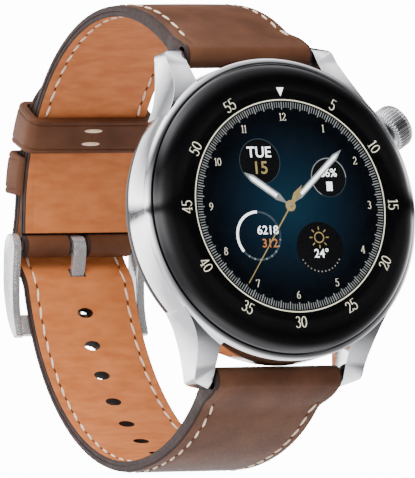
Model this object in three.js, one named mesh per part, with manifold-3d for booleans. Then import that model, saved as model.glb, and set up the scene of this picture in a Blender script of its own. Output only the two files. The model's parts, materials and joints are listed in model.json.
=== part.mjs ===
// A round steel smartwatch on a two-part leather strap, closed with a pin buckle.
// Millimetres. +X is 3 o'clock, +Z is 12 o'clock and -Y is out of the dial.
// The origin is the centre of the flat on the rear sensor window, which rests on the wrist.
import * as THREE from 'three';
import { mergeVertices } from 'three/addons/utils/BufferGeometryUtils.js';
import Module from 'manifold-3d';

const wasm = await Module();
wasm.setup();

// ---------------------------------------------------------------- driving dimensions

const RING_SEGMENTS = 48;
const PIN_SEGMENTS = 16;
const GAP = 0.1;

const CASE_RADIUS = 23.1;
const CASE_FRONT = -9.6;
const CASE_BACK = -3.6;
const CASE_BORE = 20.6;
const LEDGE_BORE = 17.6;
const LEDGE_FRONT = -4.6;
const GLASS_FRONT = -12.9;
const GLASS_RADIUS = 22.2;
const GLASS_FLAT_RADIUS = 17.5;
const GLASS_EDGE_FRONT = -10.5;
const DISPLAY_RADIUS = 18.15;
const DISPLAY_FRONT = -12.1;
const COVER_RADIUS = 22.6;
const COVER_BACK = -0.9;
const WINDOW_RADIUS = 9.25;
const SCREW_CIRCLE = 19.2;
const SCREW_ANGLES = [45, 135, 225, 315];

const LUG_INNER = 11.2;
const LUG_OUTER = 14.5;
const LUG_TIP = 26.2;
const BAR_Y = -3.0;
const BAR_Z = 24.8;
const BAR_RADIUS = 0.75;
const BAR_HALF_LENGTH = 10.7;
const BAR_PIN_RADIUS = 0.42;
const BAR_PIN_END = 12.3;
const LEVER_X = 8.0;
const RELEASE_TRAVEL = 1.5;

const SIDE_AXIS_Y = -6.7;
const CROWN_ANGLE = 30;
const CROWN_RADIUS = 3.45;
const CROWN_START = 23.95;
const CROWN_END = 27.3;
const CROWN_TEETH = 40;
const BUTTON_ANGLE = -30;
const BUTTON_LENGTH = 9;
const BUTTON_WIDTH = 2.9;
const BUTTON_FACE_RADIUS = 23.75;
const BUTTON_POCKET = 21.7;
const STEM_RADIUS = 0.6;

// The closed strap's inner face is an ellipse around the wrist.
const LOOP_Y = 23.7;
const LOOP_Z = 1.35;
const LOOP_HALF_DEPTH = 31.9;
const LOOP_HALF_HEIGHT = 34.0;
const LOOP_MEAN = (LOOP_HALF_DEPTH + LOOP_HALF_HEIGHT) / 2;

const STRAP_WIDTH_LUG = 21.6;
const STRAP_WIDTH_NECK = 20.6;
const STRAP_WIDTH = 18.9;
const STRAP_TAPER_LENGTH = 70;
const SHOULDER_FROM_BAR = 3.2;
const SHOULDER_LENGTH = 2.6;
const STRAP_THICK = 1.8;
const CROWN_SHARE = 0.4;
const CROWN_BLEND = 6;
const WRAP_RADIUS = 1.9;
const LINING = 0.75;
const PADDING_LENGTH = 26;
const TAIL_TIP = 71.0;
const TAIL_TIP_LENGTH = 9;
const HOLE_FIRST = 104.3;
const HOLE_PITCH = 5.4;
const HOLE_COUNT = 8;
const HOLE_WIDTH = 2.7;
const HOLE_LENGTH = 1.6;

const BUCKLE_AT = 99.3;
const BUCKLE_LIFT = 1.05;
const BUCKLE_WRAP_RADIUS = 1.8;
const BUCKLE_LENGTH = 13.0;
const BUCKLE_INNER = 10.2;
const BUCKLE_OUTER = 11.7;
const BUCKLE_BAR_HALF = 11.1;
const TONGUE_LENGTH = 12.4;
const TONGUE_WIDTH = 2.1;
const TONGUE_THICK = 0.9;
const FREE_KEEPER_AT = 81.8;
const FIXED_KEEPER_AT = 89.0;
const KEEPER_WIDTH = 5.8;
const KEEPER_THICK = 1.15;

// ---------------------------------------------------------------- materials

function material(color, roughness, metalness) {
  return new THREE.MeshStandardMaterial({ color, roughness, metalness });
}

const POLISHED_STEEL = material(0xd9dcdf, 0.12, 1);
const SATIN_STEEL = material(0xb9bcc0, 0.32, 1);
const GLASS = material(0x0b0c0e, 0.05, 0);
const DISPLAY = material(0x0c2233, 0.2, 0);
const SEAL = material(0x1b1b1c, 0.8, 0);
const BLACK_PLASTIC = material(0x26272a, 0.5, 0);
const BOARD = material(0x1d5a3c, 0.55, 0);
const CELL = material(0x8f959c, 0.35, 0.8);
const COPPER = material(0xb8703a, 0.35, 1);
const FERRITE = material(0x3a3c40, 0.6, 0.2);
const OUTER_LEATHER = material(0x6f5344, 0.6, 0);
const LINING_LEATHER = material(0xc98355, 0.65, 0);

// ---------------------------------------------------------------- geometry helpers

function signedVolume(geometry) {
  const position = geometry.attributes.position;
  const index = geometry.index;
  const a = new THREE.Vector3();
  const b = new THREE.Vector3();
  const c = new THREE.Vector3();
  let volume = 0;
  for (let i = 0; i < index.count; i += 3) {
    a.fromBufferAttribute(position, index.getX(i));
    b.fromBufferAttribute(position, index.getX(i + 1));
    c.fromBufferAttribute(position, index.getX(i + 2));
    volume += a.dot(b.cross(c)) / 6;
  }
  return volume;
}

// Welds the vertices, drops collapsed triangles and turns the faces outwards.
function closed(geometry) {
  geometry.deleteAttribute('normal');
  geometry.deleteAttribute('uv');
  const welded = mergeVertices(geometry, 1e-4);
  const source = Array.from(welded.index.array);
  const kept = [];
  for (let i = 0; i < source.length; i += 3) {
    const [a, b, c] = source.slice(i, i + 3);
    if (a !== b && b !== c && c !== a) {
      kept.push(a, b, c);
    }
  }
  welded.setIndex(kept);
  if (signedVolume(welded) < 0) {
    kept.reverse();
    welded.setIndex(kept);
  }
  return welded;
}

function toManifold(geometry) {
  const mesh = closed(geometry);
  return new wasm.Manifold(new wasm.Mesh({
    numProp: 3,
    vertProperties: new Float32Array(mesh.attributes.position.array),
    triVerts: new Uint32Array(mesh.index.array),
  }));
}

function toGeometry(manifold) {
  const mesh = manifold.getMesh();
  const geometry = new THREE.BufferGeometry();
  geometry.setAttribute('position', new THREE.BufferAttribute(mesh.vertProperties, 3));
  geometry.setIndex(Array.from(mesh.triVerts));
  return geometry;
}

function carve(body, added, removed) {
  let result = toManifold(body);
  for (const geometry of added) {
    result = result.add(toManifold(geometry));
  }
  for (const geometry of removed) {
    result = result.subtract(toManifold(geometry));
  }
  return toGeometry(result);
}

// A turned piece about the watch's own axis, from [radius, y] points.
function turned(points, segments = RING_SEGMENTS) {
  const outline = points.map(([radius, y]) => new THREE.Vector2(radius, y));
  return new THREE.LatheGeometry(outline, segments);
}

function turnedRing(points, segments = RING_SEGMENTS) {
  return turned([...points, points[0]], segments);
}

// A turned piece about the X axis, from [radius, x] points.
function turnedAlongX(points, segments = PIN_SEGMENTS) {
  return turned(points, segments).rotateZ(-Math.PI / 2);
}

function discAt(radius, front, back, segments = RING_SEGMENTS) {
  return turned([[0, front], [radius, front], [radius, back], [0, back]], segments);
}

function rodAlongX(radius, from, to, segments = PIN_SEGMENTS) {
  return turnedAlongX([[0, from], [radius, from], [radius, to], [0, to]], segments);
}

function sleeveAlongX(inner, outer, from, to) {
  return turnedAlongX([[inner, from], [outer, from], [outer, to], [inner, to], [inner, from]]);
}

function block(x0, x1, y0, y1, z0, z1) {
  const box = new THREE.BoxGeometry(x1 - x0, y1 - y0, z1 - z0);
  return box.translate((x0 + x1) / 2, (y0 + y1) / 2, (z0 + z1) / 2);
}

// Extrudes a shape drawn as (x, z) towards the dial, from the plane y = back.
function extrudeForward(shape, back, depth, curveSegments = 10) {
  const solid = new THREE.ExtrudeGeometry(shape, { depth, bevelEnabled: false, curveSegments });
  const axes = new THREE.Matrix4().makeBasis(
    new THREE.Vector3(1, 0, 0),
    new THREE.Vector3(0, 0, 1),
    new THREE.Vector3(0, -1, 0),
  );
  return solid.applyMatrix4(axes).translate(0, back, 0);
}

// Extrudes a shape drawn as (y, z) along X between two planes.
function extrudeAcross(shape, from, to, curveSegments = 10) {
  const options = { depth: to - from, bevelEnabled: false, curveSegments };
  const solid = new THREE.ExtrudeGeometry(shape, options);
  const axes = new THREE.Matrix4().makeBasis(
    new THREE.Vector3(0, 1, 0),
    new THREE.Vector3(0, 0, 1),
    new THREE.Vector3(1, 0, 0),
  );
  return solid.applyMatrix4(axes).translate(from, 0, 0);
}

function stadium(length, width) {
  const shape = new THREE.Shape();
  const radius = width / 2;
  const straight = length / 2 - radius;
  shape.moveTo(-straight, -radius);
  shape.lineTo(straight, -radius);
  shape.absarc(straight, 0, radius, -Math.PI / 2, Math.PI / 2, false);
  shape.lineTo(-straight, radius);
  shape.absarc(-straight, 0, radius, Math.PI / 2, 1.5 * Math.PI, false);
  return shape;
}

function smooth(value) {
  return THREE.MathUtils.smoothstep(value, 0, 1);
}

// Turns a piece built along +X to its place on the case's flank.
function onFlank(geometry, degrees) {
  return geometry.translate(0, SIDE_AXIS_Y, 0).rotateY(-THREE.MathUtils.degToRad(degrees));
}

// ---------------------------------------------------------------- the strap's curve

// distance runs along the loop from the dial, over 12 o'clock, and lift is outwards.
function loopPoint(distance, lift) {
  const angle = distance / LOOP_MEAN;
  const onLoop = new THREE.Vector2(
    LOOP_Y - LOOP_HALF_DEPTH * Math.cos(angle),
    LOOP_Z + LOOP_HALF_HEIGHT * Math.sin(angle),
  );
  const outwards = new THREE.Vector2(
    -Math.cos(angle) / LOOP_HALF_DEPTH,
    Math.sin(angle) / LOOP_HALF_HEIGHT,
  );
  return onLoop.addScaledVector(outwards.normalize(), lift);
}

function nearestOnLoop(point) {
  const best = { distance: 0, lift: Infinity };
  for (let distance = 0; distance < LOOP_MEAN * 2 * Math.PI; distance += 0.02) {
    const lift = loopPoint(distance, 0).distanceTo(point);
    if (lift < best.lift) {
      best.distance = distance;
      best.lift = lift;
    }
  }
  return best;
}

const UPPER_BAR = nearestOnLoop(new THREE.Vector2(BAR_Y, BAR_Z));
const LOWER_BAR = nearestOnLoop(new THREE.Vector2(BAR_Y, -BAR_Z));
UPPER_BAR.settledLift = 0;
LOWER_BAR.settledLift = 0.9;

// Bends a geometry whose x, y and z are across, lift and distance onto the loop.
function wrapOnLoop(geometry, reshape = null) {
  const position = geometry.attributes.position;
  for (let index = 0; index < position.count; index++) {
    const point = new THREE.Vector3().fromBufferAttribute(position, index);
    if (reshape) {
      reshape(point);
    }
    const placed = loopPoint(point.z, point.y);
    position.setXYZ(index, point.x, placed.x, placed.y);
  }
  return geometry;
}

function loopBlock(x0, x1, lift0, lift1, from, to, steps) {
  const box = new THREE.BoxGeometry(x1 - x0, lift1 - lift0, to - from, 1, 1, steps);
  box.translate((x0 + x1) / 2, (lift0 + lift1) / 2, (from + to) / 2);
  return wrapOnLoop(box);
}

function padding(along, bar) {
  return smooth(1 - Math.abs(along - bar.distance) / PADDING_LENGTH);
}

function innerLift(along, bar) {
  const away = Math.abs(along - bar.distance);
  const atBar = bar.lift - WRAP_RADIUS - bar.settledLift;
  return bar.settledLift * smooth(1 - away / 30) + atBar * smooth(1 - away / 6);
}

// The lower strap's tail rides over the buckle's bar, then over the upper strap.
function tailLift(along) {
  const over = (STRAP_THICK + 0.15) * smooth((HOLE_FIRST + 1.4 - along) / 5.5);
  const bump = 1.15 * Math.exp(-(((along - BUCKLE_AT) / 2.9) ** 2));
  return over + bump;
}

function strapThickness(along, bar) {
  return THREE.MathUtils.lerp(STRAP_THICK, 2 * WRAP_RADIUS, padding(along, bar));
}

// The padding thins out from the middle of the strap to its edges.
function crownDrop(along, bar, across) {
  const thickness = strapThickness(along, bar);
  const fullDrop = CROWN_SHARE * (thickness - STRAP_THICK);
  return fullDrop * across * across * smooth(Math.abs(along - bar.distance) / CROWN_BLEND);
}

function halfWidth(along, bar) {
  const past = Math.abs(along - bar.distance) - SHOULDER_FROM_BAR;
  const taper = THREE.MathUtils.clamp(past / STRAP_TAPER_LENGTH, 0, 1);
  const body = THREE.MathUtils.lerp(STRAP_WIDTH_NECK, STRAP_WIDTH, taper);
  return THREE.MathUtils.lerp(STRAP_WIDTH_LUG, body, smooth(past / SHOULDER_LENGTH)) / 2;
}

function tipShare(along) {
  const left = Math.min(1, (along - TAIL_TIP) / TAIL_TIP_LENGTH);
  return 0.12 + 0.88 * Math.sqrt(Math.max(0, 1 - (1 - left) ** 2));
}

// Both layers of a strap share stations a fixed pitch apart, so they stay parallel.
const UPPER = {
  bar: UPPER_BAR, z: BAR_Z, from: UPPER_BAR.distance, to: BUCKLE_AT - 0.4, steps: 32, isTail: false,
};
const LOWER = {
  bar: LOWER_BAR, z: -BAR_Z, from: TAIL_TIP, to: LOWER_BAR.distance, steps: 46, isTail: true,
};

// One layer of a strap between two heights, given as functions of its thickness.
function strapLayer(strap, firstStation, lastStation, low, high, across = 1) {
  const pitch = (strap.to - strap.from) / strap.steps;
  const steps = lastStation - firstStation;
  const layer = new THREE.BoxGeometry(2, 1, steps * pitch, across, 1, steps);
  layer.translate(0, 0.5, strap.from + (firstStation + steps / 2) * pitch);
  return wrapOnLoop(layer, (point) => {
    const along = point.z;
    const thickness = strapThickness(along, strap.bar);
    const base = innerLift(along, strap.bar) + (strap.isTail ? tailLift(along) : 0);
    const share = strap.isTail ? tipShare(along) : 1;
    const top = high(thickness) - (across > 1 ? crownDrop(along, strap.bar, point.x) : 0);
    point.x *= halfWidth(along, strap.bar) * share;
    point.y = base + THREE.MathUtils.lerp(low(thickness), top, point.y);
  });
}

function ringAcross(centre, radius, halfLength) {
  const rod = rodAlongX(radius, -halfLength, halfLength, 24);
  return rod.translate(0, centre.x, centre.y);
}

// ---------------------------------------------------------------- case

function lugBlank() {
  const front = new THREE.Shape();
  front.moveTo(LUG_INNER, 14);
  front.lineTo(LUG_INNER, LUG_TIP);
  front.lineTo(LUG_OUTER - 0.7, LUG_TIP - 0.8);
  front.quadraticCurveTo(LUG_OUTER, LUG_TIP - 1, LUG_OUTER, LUG_TIP - 1.9);
  front.bezierCurveTo(LUG_OUTER + 0.1, 21.4, 15.4, 18.2, 17.9, 14.6);
  front.lineTo(16, 14);
  const side = new THREE.Shape();
  side.moveTo(CASE_FRONT + 0.1, 12);
  side.lineTo(CASE_FRONT + 0.1, 18.6);
  side.bezierCurveTo(-9.2, 20.8, -6.8, 21.5, -5.2, 23.3);
  side.lineTo(-3.5, LUG_TIP - 0.5);
  side.lineTo(-2.1, LUG_TIP);
  side.quadraticCurveTo(-1.1, LUG_TIP - 0.1, -0.9, 24.9);
  side.quadraticCurveTo(-1.0, 20.5, -2.6, 17);
  side.lineTo(-4.2, 12);
  const plan = toManifold(extrudeForward(front, 0, 12, 8));
  const profile = toManifold(extrudeAcross(side, LUG_INNER - 1, LUG_OUTER + 5, 8));
  return toGeometry(plan.intersect(profile));
}

function lugs() {
  const all = [];
  for (const x of [-1, 1]) {
    for (const z of [-1, 1]) {
      all.push(lugBlank().scale(x, 1, z));
    }
  }
  return all;
}

function barPocket(side, z) {
  const from = side > 0 ? LUG_INNER - 0.5 : -BAR_PIN_END - 0.25;
  const pocket = rodAlongX(BAR_PIN_RADIUS + GAP, from, from + 0.5 + BAR_PIN_END + 0.25 - LUG_INNER, 12);
  return pocket.translate(0, BAR_Y, z);
}

function buttonPocket() {
  const pocket = extrudeAcross(
    stadium(BUTTON_WIDTH + 0.4, BUTTON_WIDTH + 0.4), BUTTON_POCKET, CASE_RADIUS + 2, 8);
  const stretch = (BUTTON_LENGTH + 0.4) / (BUTTON_WIDTH + 0.4);
  return onFlank(pocket.scale(1, 1, stretch), BUTTON_ANGLE);
}

function screwHole(degrees, radius) {
  const angle = THREE.MathUtils.degToRad(degrees);
  const hole = discAt(radius, LEDGE_FRONT - 1, CASE_BACK + 1, 12);
  return hole.translate(SCREW_CIRCLE * Math.cos(angle), 0, SCREW_CIRCLE * Math.sin(angle));
}

function caseBody() {
  const shell = turnedRing([
    [CASE_BORE, CASE_FRONT],
    [CASE_RADIUS - 0.25, CASE_FRONT],
    [CASE_RADIUS, CASE_FRONT + 0.35],
    [CASE_RADIUS, CASE_BACK - 0.9],
    [CASE_RADIUS - 0.35, CASE_BACK],
    [LEDGE_BORE, CASE_BACK],
    [LEDGE_BORE, LEDGE_FRONT],
    [CASE_BORE, LEDGE_FRONT],
  ]);
  const gasketGroove = turnedRing([
    [20.9, CASE_BACK - 0.6],
    [21.7, CASE_BACK - 0.6],
    [21.7, CASE_BACK + 0.5],
    [20.9, CASE_BACK + 0.5],
  ]);
  const removed = [
    discAt(COVER_RADIUS + 0.25, CASE_BACK, 2),
    discAt(CASE_BORE - 0.02, CASE_FRONT - 1, LEDGE_FRONT - 0.01),
    gasketGroove,
    onFlank(rodAlongX(1.45, 18, 25), CROWN_ANGLE),
    onFlank(rodAlongX(0.95, 18, 25), BUTTON_ANGLE),
    buttonPocket(),
    ...SCREW_ANGLES.map((degrees) => screwHole(degrees, 0.7)),
  ];
  for (const side of [-1, 1]) {
    removed.push(barPocket(side, BAR_Z), barPocket(side, -BAR_Z));
  }
  return carve(shell, lugs(), removed);
}

function bezelRing() {
  return turnedRing([
    [GLASS_RADIUS + GAP, CASE_FRONT - GAP],
    [CASE_RADIUS - 0.05, CASE_FRONT - GAP],
    [CASE_RADIUS + 0.05, CASE_FRONT - 0.3],
    [CASE_RADIUS - 0.2, CASE_FRONT - 0.55],
    [GLASS_RADIUS + 0.25, GLASS_EDGE_FRONT + 0.1],
    [GLASS_RADIUS + GAP, GLASS_EDGE_FRONT + 0.15],
  ]);
}

function coverGlass() {
  const outline = [[0, GLASS_FRONT]];
  const fall = GLASS_EDGE_FRONT - GLASS_FRONT;
  for (let step = 0; step <= 6; step++) {
    const angle = (step / 6) * Math.PI / 2;
    const radius = GLASS_FLAT_RADIUS + (GLASS_RADIUS - GLASS_FLAT_RADIUS) * Math.sin(angle);
    outline.push([radius, GLASS_EDGE_FRONT - fall * Math.cos(angle)]);
  }
  outline.push([GLASS_RADIUS, -9.95]);
  outline.push([20.3, -9.95]);
  outline.push([18.4, -11.2]);
  outline.push([18.4, DISPLAY_FRONT - GAP]);
  outline.push([0, DISPLAY_FRONT - GAP]);
  return turned(outline);
}

function glassGasket() {
  return turnedRing([[20.8, -9.85], [22.0, -9.85], [22.0, -9.7], [20.8, -9.7]]);
}

function innerFrame() {
  const shell = turned([
    [0, -11.4],
    [18.0, -11.4],
    [18.2, -9.7],
    [20.3, -9.4],
    [20.3, LEDGE_FRONT - 0.2],
    [19.3, LEDGE_FRONT - 0.2],
    [19.3, -8.9],
    [17.2, -9.2],
    [17.2, -10.9],
    [0, -10.9],
  ]);
  const passages = [CROWN_ANGLE, BUTTON_ANGLE].map((degrees) => (
    onFlank(rodAlongX(1.7, 17, 22, 16), degrees)
  ));
  return carve(shell, [], passages);
}

function mainBoard() {
  const board = discAt(16.8, -10.7, -9.9, 48);
  const chips = [
    block(-9, -3, -10.2, -8.9, 2, 8),
    block(0.5, 6.5, -10.2, -9.1, 3, 9),
    block(-7, -1, -10.2, -9.0, -8, -3),
    block(3, 7, -10.2, -9.2, -9, -5),
  ];
  return carve(board, chips, []);
}

function battery() {
  return discAt(12, -8.6, -3.3, 48).translate(-3.2, 0, 0);
}

function switchBox(outerEnd, degrees) {
  const body = block(outerEnd - 2.4, outerEnd - 0.2, -1.6, 1.6, -2.2, 2.2);
  const nub = rodAlongX(0.8, outerEnd - 0.4, outerEnd, 12);
  return onFlank(carve(body, [nub], []), degrees);
}

function rearCover() {
  const cover = turnedRing([
    [WINDOW_RADIUS + GAP, COVER_BACK],
    [20.4, COVER_BACK],
    [21.6, COVER_BACK - 0.3],
    [COVER_RADIUS, COVER_BACK - 1.9],
    [COVER_RADIUS, CASE_BACK + GAP],
    [16.9, CASE_BACK + GAP],
    [16.9, COVER_BACK - 1],
    [WINDOW_RADIUS + GAP, COVER_BACK - 1],
  ]);
  const removed = [];
  for (const degrees of SCREW_ANGLES) {
    const angle = THREE.MathUtils.degToRad(degrees);
    const x = SCREW_CIRCLE * Math.cos(angle);
    const z = SCREW_CIRCLE * Math.sin(angle);
    removed.push(discAt(0.75, -5, 1, 12).translate(x, 0, z));
    removed.push(discAt(1.2, COVER_BACK - 0.9, 1, 16).translate(x, 0, z));
  }
  return carve(cover, [], removed);
}

function rearCoverScrew(degrees) {
  const screw = turned([
    [0, LEDGE_FRONT],
    [STEM_RADIUS, LEDGE_FRONT],
    [STEM_RADIUS, COVER_BACK - 0.8],
    [1.05, COVER_BACK - 0.8],
    [1.05, COVER_BACK - 0.2],
    [0.95, COVER_BACK - 0.1],
    [0, COVER_BACK - 0.1],
  ], 16);
  const socket = discAt(0.5, COVER_BACK - 0.5, COVER_BACK + 1, 6);
  const angle = THREE.MathUtils.degToRad(degrees);
  const placed = carve(screw, [], [socket]);
  return placed.translate(SCREW_CIRCLE * Math.cos(angle), 0, SCREW_CIRCLE * Math.sin(angle));
}

function rearGasket() {
  return turnedRing([
    [21.0, CASE_BACK - 0.5],
    [21.6, CASE_BACK - 0.5],
    [21.6, CASE_BACK + 0.02],
    [21.0, CASE_BACK + 0.02],
  ]);
}

function sensorWindow() {
  return turned([
    [0, 0],
    [6.5, 0],
    [7.9, -0.15],
    [8.8, -0.45],
    [WINDOW_RADIUS, -0.85],
    [WINDOW_RADIUS, -1.8],
    [8.4, -1.8],
    [7.8, -1.1],
    [0, -1.1],
  ], 36);
}

// ---------------------------------------------------------------- crown and side button

function crownCap() {
  const knurl = new THREE.Shape();
  const count = CROWN_TEETH * 2;
  for (let step = 0; step < count; step++) {
    const radius = step % 2 === 0 ? CROWN_RADIUS : CROWN_RADIUS - 0.28;
    const angle = (step / count) * 2 * Math.PI;
    knurl[step === 0 ? 'moveTo' : 'lineTo'](radius * Math.cos(angle), radius * Math.sin(angle));
  }
  const grip = extrudeAcross(knurl, CROWN_START + 0.35, CROWN_END - 0.6);
  const body = turnedAlongX([
    [0, CROWN_START],
    [CROWN_RADIUS - 0.6, CROWN_START],
    [CROWN_RADIUS - 0.35, CROWN_START + 0.35],
    [CROWN_RADIUS - 0.35, CROWN_END - 0.6],
    [CROWN_RADIUS - 0.15, CROWN_END - 0.5],
    [CROWN_RADIUS - 0.3, CROWN_END - 0.15],
    [CROWN_RADIUS - 0.8, CROWN_END],
    [0, CROWN_END],
  ], 40);
  const bore = rodAlongX(STEM_RADIUS + GAP, CROWN_START - 1, 26.2);
  return onFlank(carve(body, [grip], [bore]), CROWN_ANGLE);
}

function crownTube() {
  const tube = turnedAlongX([
    [0.95, 20.5],
    [1.35, 20.5],
    [1.35, 23.15],
    [2.1, 23.15],
    [2.1, 23.45],
    [0.95, 23.45],
    [0.95, 20.5],
  ]);
  return onFlank(tube, CROWN_ANGLE);
}

function crownStem() {
  return onFlank(rodAlongX(STEM_RADIUS, 18.0, 26.05), CROWN_ANGLE);
}

function stemSeal(x, degrees) {
  const ring = new THREE.TorusGeometry(0.78, 0.13, 6, 14).rotateY(Math.PI / 2);
  return onFlank(ring.translate(x, 0, 0), degrees);
}

function stemClip(x, degrees) {
  const clip = sleeveAlongX(STEM_RADIUS + 0.05, 1.3, x, x + 0.3);
  const opening = block(x - 1, x + 1, -2, 0, -0.4, 0.4);
  return onFlank(carve(clip, [], [opening]), degrees);
}

function crownPlunger() {
  return onFlank(rodAlongX(0.8, 17.0, 17.9), CROWN_ANGLE);
}

function sideButton() {
  const stretch = BUTTON_LENGTH / BUTTON_WIDTH;
  const bar = extrudeAcross(stadium(BUTTON_WIDTH, BUTTON_WIDTH), 22.1, 25, 8);
  const face = discAt(BUTTON_FACE_RADIUS, -30, 30, 72);
  const cap = toManifold(bar.scale(1, 1, stretch)).intersect(toManifold(face));
  const stem = rodAlongX(STEM_RADIUS, 18.0, 22.4);
  return onFlank(toGeometry(cap.add(toManifold(stem))), BUTTON_ANGLE);
}

// ---------------------------------------------------------------- spring bars

function barTube(z) {
  const tube = turnedAlongX([
    [0, -BAR_PIN_END],
    [BAR_PIN_RADIUS, -BAR_PIN_END],
    [BAR_PIN_RADIUS, -BAR_HALF_LENGTH],
    [BAR_RADIUS, -BAR_HALF_LENGTH],
    [BAR_RADIUS, BAR_HALF_LENGTH],
    [0, BAR_HALF_LENGTH],
  ]);
  const bore = rodAlongX(BAR_PIN_RADIUS + 0.08, 3, BAR_HALF_LENGTH + 1);
  const slot = block(LEVER_X - RELEASE_TRAVEL - 0.6, LEVER_X + 0.6, 0, 2, -0.4, 0.4);
  return carve(tube, [], [bore, slot]).translate(0, BAR_Y, z);
}

function releasePin(z) {
  const pin = rodAlongX(BAR_PIN_RADIUS, LEVER_X - 3, BAR_PIN_END);
  const lever = block(LEVER_X - 0.35, LEVER_X + 0.35, 0, 2.35, -0.3, 0.3);
  return carve(pin, [lever], []).translate(0, BAR_Y, z);
}

function leverWindow(z) {
  return block(
    LEVER_X - RELEASE_TRAVEL - 0.9, LEVER_X + 0.9, BAR_Y, BAR_Y + 4, z - 0.8, z + 0.8);
}

// ---------------------------------------------------------------- strap

function strapOuter(strap) {
  const top = (thickness) => thickness;
  const layer = strapLayer(strap, 0, strap.steps, () => LINING + GAP, top, 4);
  const centre = new THREE.Vector2(BAR_Y, strap.z);
  const halfLength = STRAP_WIDTH_LUG / 2;
  const wrap = ringAcross(centre, WRAP_RADIUS, halfLength);
  const bore = ringAcross(centre, BAR_RADIUS + GAP, halfLength + 1);
  return carve(layer, [wrap], [bore, leverWindow(strap.z)]);
}

function keeperPocket(side) {
  const half = KEEPER_WIDTH / 2 + 0.25;
  const x0 = Math.min(side * 6.6, side * 13);
  const x1 = Math.max(side * 6.6, side * 13);
  return loopBlock(x0, x1, 0.5, 1.4, FIXED_KEEPER_AT - half, FIXED_KEEPER_AT + half, 4);
}

function upperStrapOuter() {
  const centre = loopPoint(BUCKLE_AT, BUCKLE_LIFT);
  const buckleWrap = ringAcross(centre, BUCKLE_WRAP_RADIUS, STRAP_WIDTH / 2);
  const buckleBore = ringAcross(centre, BAR_RADIUS + GAP, 12);
  const slotHalf = TONGUE_WIDTH / 2 + 0.35;
  const slot = loopBlock(-slotHalf, slotHalf, -2, 4, BUCKLE_AT - 2.1, BUCKLE_AT + 3, 2);
  const pockets = [keeperPocket(-1), keeperPocket(1)];
  return carve(strapOuter(UPPER), [buckleWrap], [buckleBore, slot, ...pockets]);
}

function upperStrapLining() {
  return strapLayer(UPPER, 1, UPPER.steps - 1, () => 0, () => LINING);
}

// Oval holes through both layers of the lower strap.
function holeCutters() {
  const cutters = [];
  for (let hole = 1; hole < HOLE_COUNT; hole++) {
    const oval = new THREE.Shape();
    oval.absellipse(0, 0, HOLE_WIDTH / 2, HOLE_LENGTH / 2, 0, 2 * Math.PI);
    const options = { depth: 6, bevelEnabled: false, curveSegments: 6 };
    const cutter = new THREE.ExtrudeGeometry(oval, options);
    cutter.translate(0, 0, -3).rotateX(Math.PI / 2);
    cutter.translate(0, 1, HOLE_FIRST + hole * HOLE_PITCH);
    cutters.push(wrapOnLoop(cutter));
  }
  cutters.push(tongueBlade(0.3, TONGUE_WIDTH / 2 + 0.3));
  return cutters;
}

function lowerStrapOuter() {
  return carve(strapOuter(LOWER), [], holeCutters());
}

function lowerStrapLining() {
  const lining = strapLayer(LOWER, 0, LOWER.steps - 1, () => 0, () => LINING);
  return carve(lining, [], holeCutters());
}

// ---------------------------------------------------------------- keepers

function sweptSection(section, at) {
  const options = { depth: KEEPER_WIDTH, steps: 4, bevelEnabled: false, curveSegments: 4 };
  const band = new THREE.ExtrudeGeometry(section, options);
  return wrapOnLoop(band.translate(0, 0, at - KEEPER_WIDTH / 2));
}

function roundedLoop(half, low, high, corner) {
  const loop = new THREE.Shape();
  loop.moveTo(-half + corner, low);
  loop.lineTo(half - corner, low);
  loop.quadraticCurveTo(half, low, half, low + corner);
  loop.lineTo(half, high - corner);
  loop.quadraticCurveTo(half, high, half - corner, high);
  loop.lineTo(-half + corner, high);
  loop.quadraticCurveTo(-half, high, -half, high - corner);
  loop.lineTo(-half, low + corner);
  loop.quadraticCurveTo(-half, low, -half + corner, low);
  return loop;
}

function freeKeeper() {
  const clearance = 0.25;
  const half = STRAP_WIDTH / 2 + 0.15 + clearance;
  const low = -clearance;
  const high = 2 * STRAP_THICK + 0.15 + clearance;
  const outer = roundedLoop(half + KEEPER_THICK, low - KEEPER_THICK, high + KEEPER_THICK, 1.6);
  outer.holes.push(roundedLoop(half, low, high, 0.5));
  return sweptSection(outer, FREE_KEEPER_AT);
}

// Its two ends are tucked between the upper strap's layers.
function fixedKeeper() {
  const half = STRAP_WIDTH / 2 + 0.35;
  const high = 2 * STRAP_THICK + 0.4;
  const low = LINING + GAP;
  const band = roundedLoop(half + KEEPER_THICK, low, high + KEEPER_THICK, 0.9);
  band.holes.push(roundedLoop(half, low + 0.45, high, 0.2));
  const opening = loopBlock(-6.9, 6.9, -1, STRAP_THICK, 80, 98, 4);
  return carve(sweptSection(band, FIXED_KEEPER_AT), [], [opening]);
}

// ---------------------------------------------------------------- buckle

// A closed shape in (y, z) through points given as [distance, lift] on the loop.
function loopShape(points) {
  const placed = points.map(([distance, lift]) => loopPoint(BUCKLE_AT + distance, lift));
  return new THREE.Shape(placed);
}

function tongueLift(distance) {
  return -0.25 + 4.12 * smooth(distance / 11.1);
}

function tongueBlade(grow, half) {
  const lower = [];
  const upper = [];
  for (let step = 0; step <= 11; step++) {
    const distance = (step / 11) * TONGUE_LENGTH;
    const middle = tongueLift(distance);
    lower.push([distance, middle - TONGUE_THICK / 2 - grow]);
    upper.unshift([distance, middle + TONGUE_THICK / 2 + grow]);
  }
  return extrudeAcross(loopShape([...lower, ...upper]), -half, half);
}

function buckleTongue() {
  const centre = loopPoint(BUCKLE_AT, BUCKLE_LIFT);
  const half = TONGUE_WIDTH / 2;
  const eye = ringAcross(centre, 1.6, half);
  const bore = ringAcross(centre, BAR_RADIUS + GAP, half + 1);
  return carve(eye, [tongueBlade(0, half)], [bore]);
}

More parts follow.
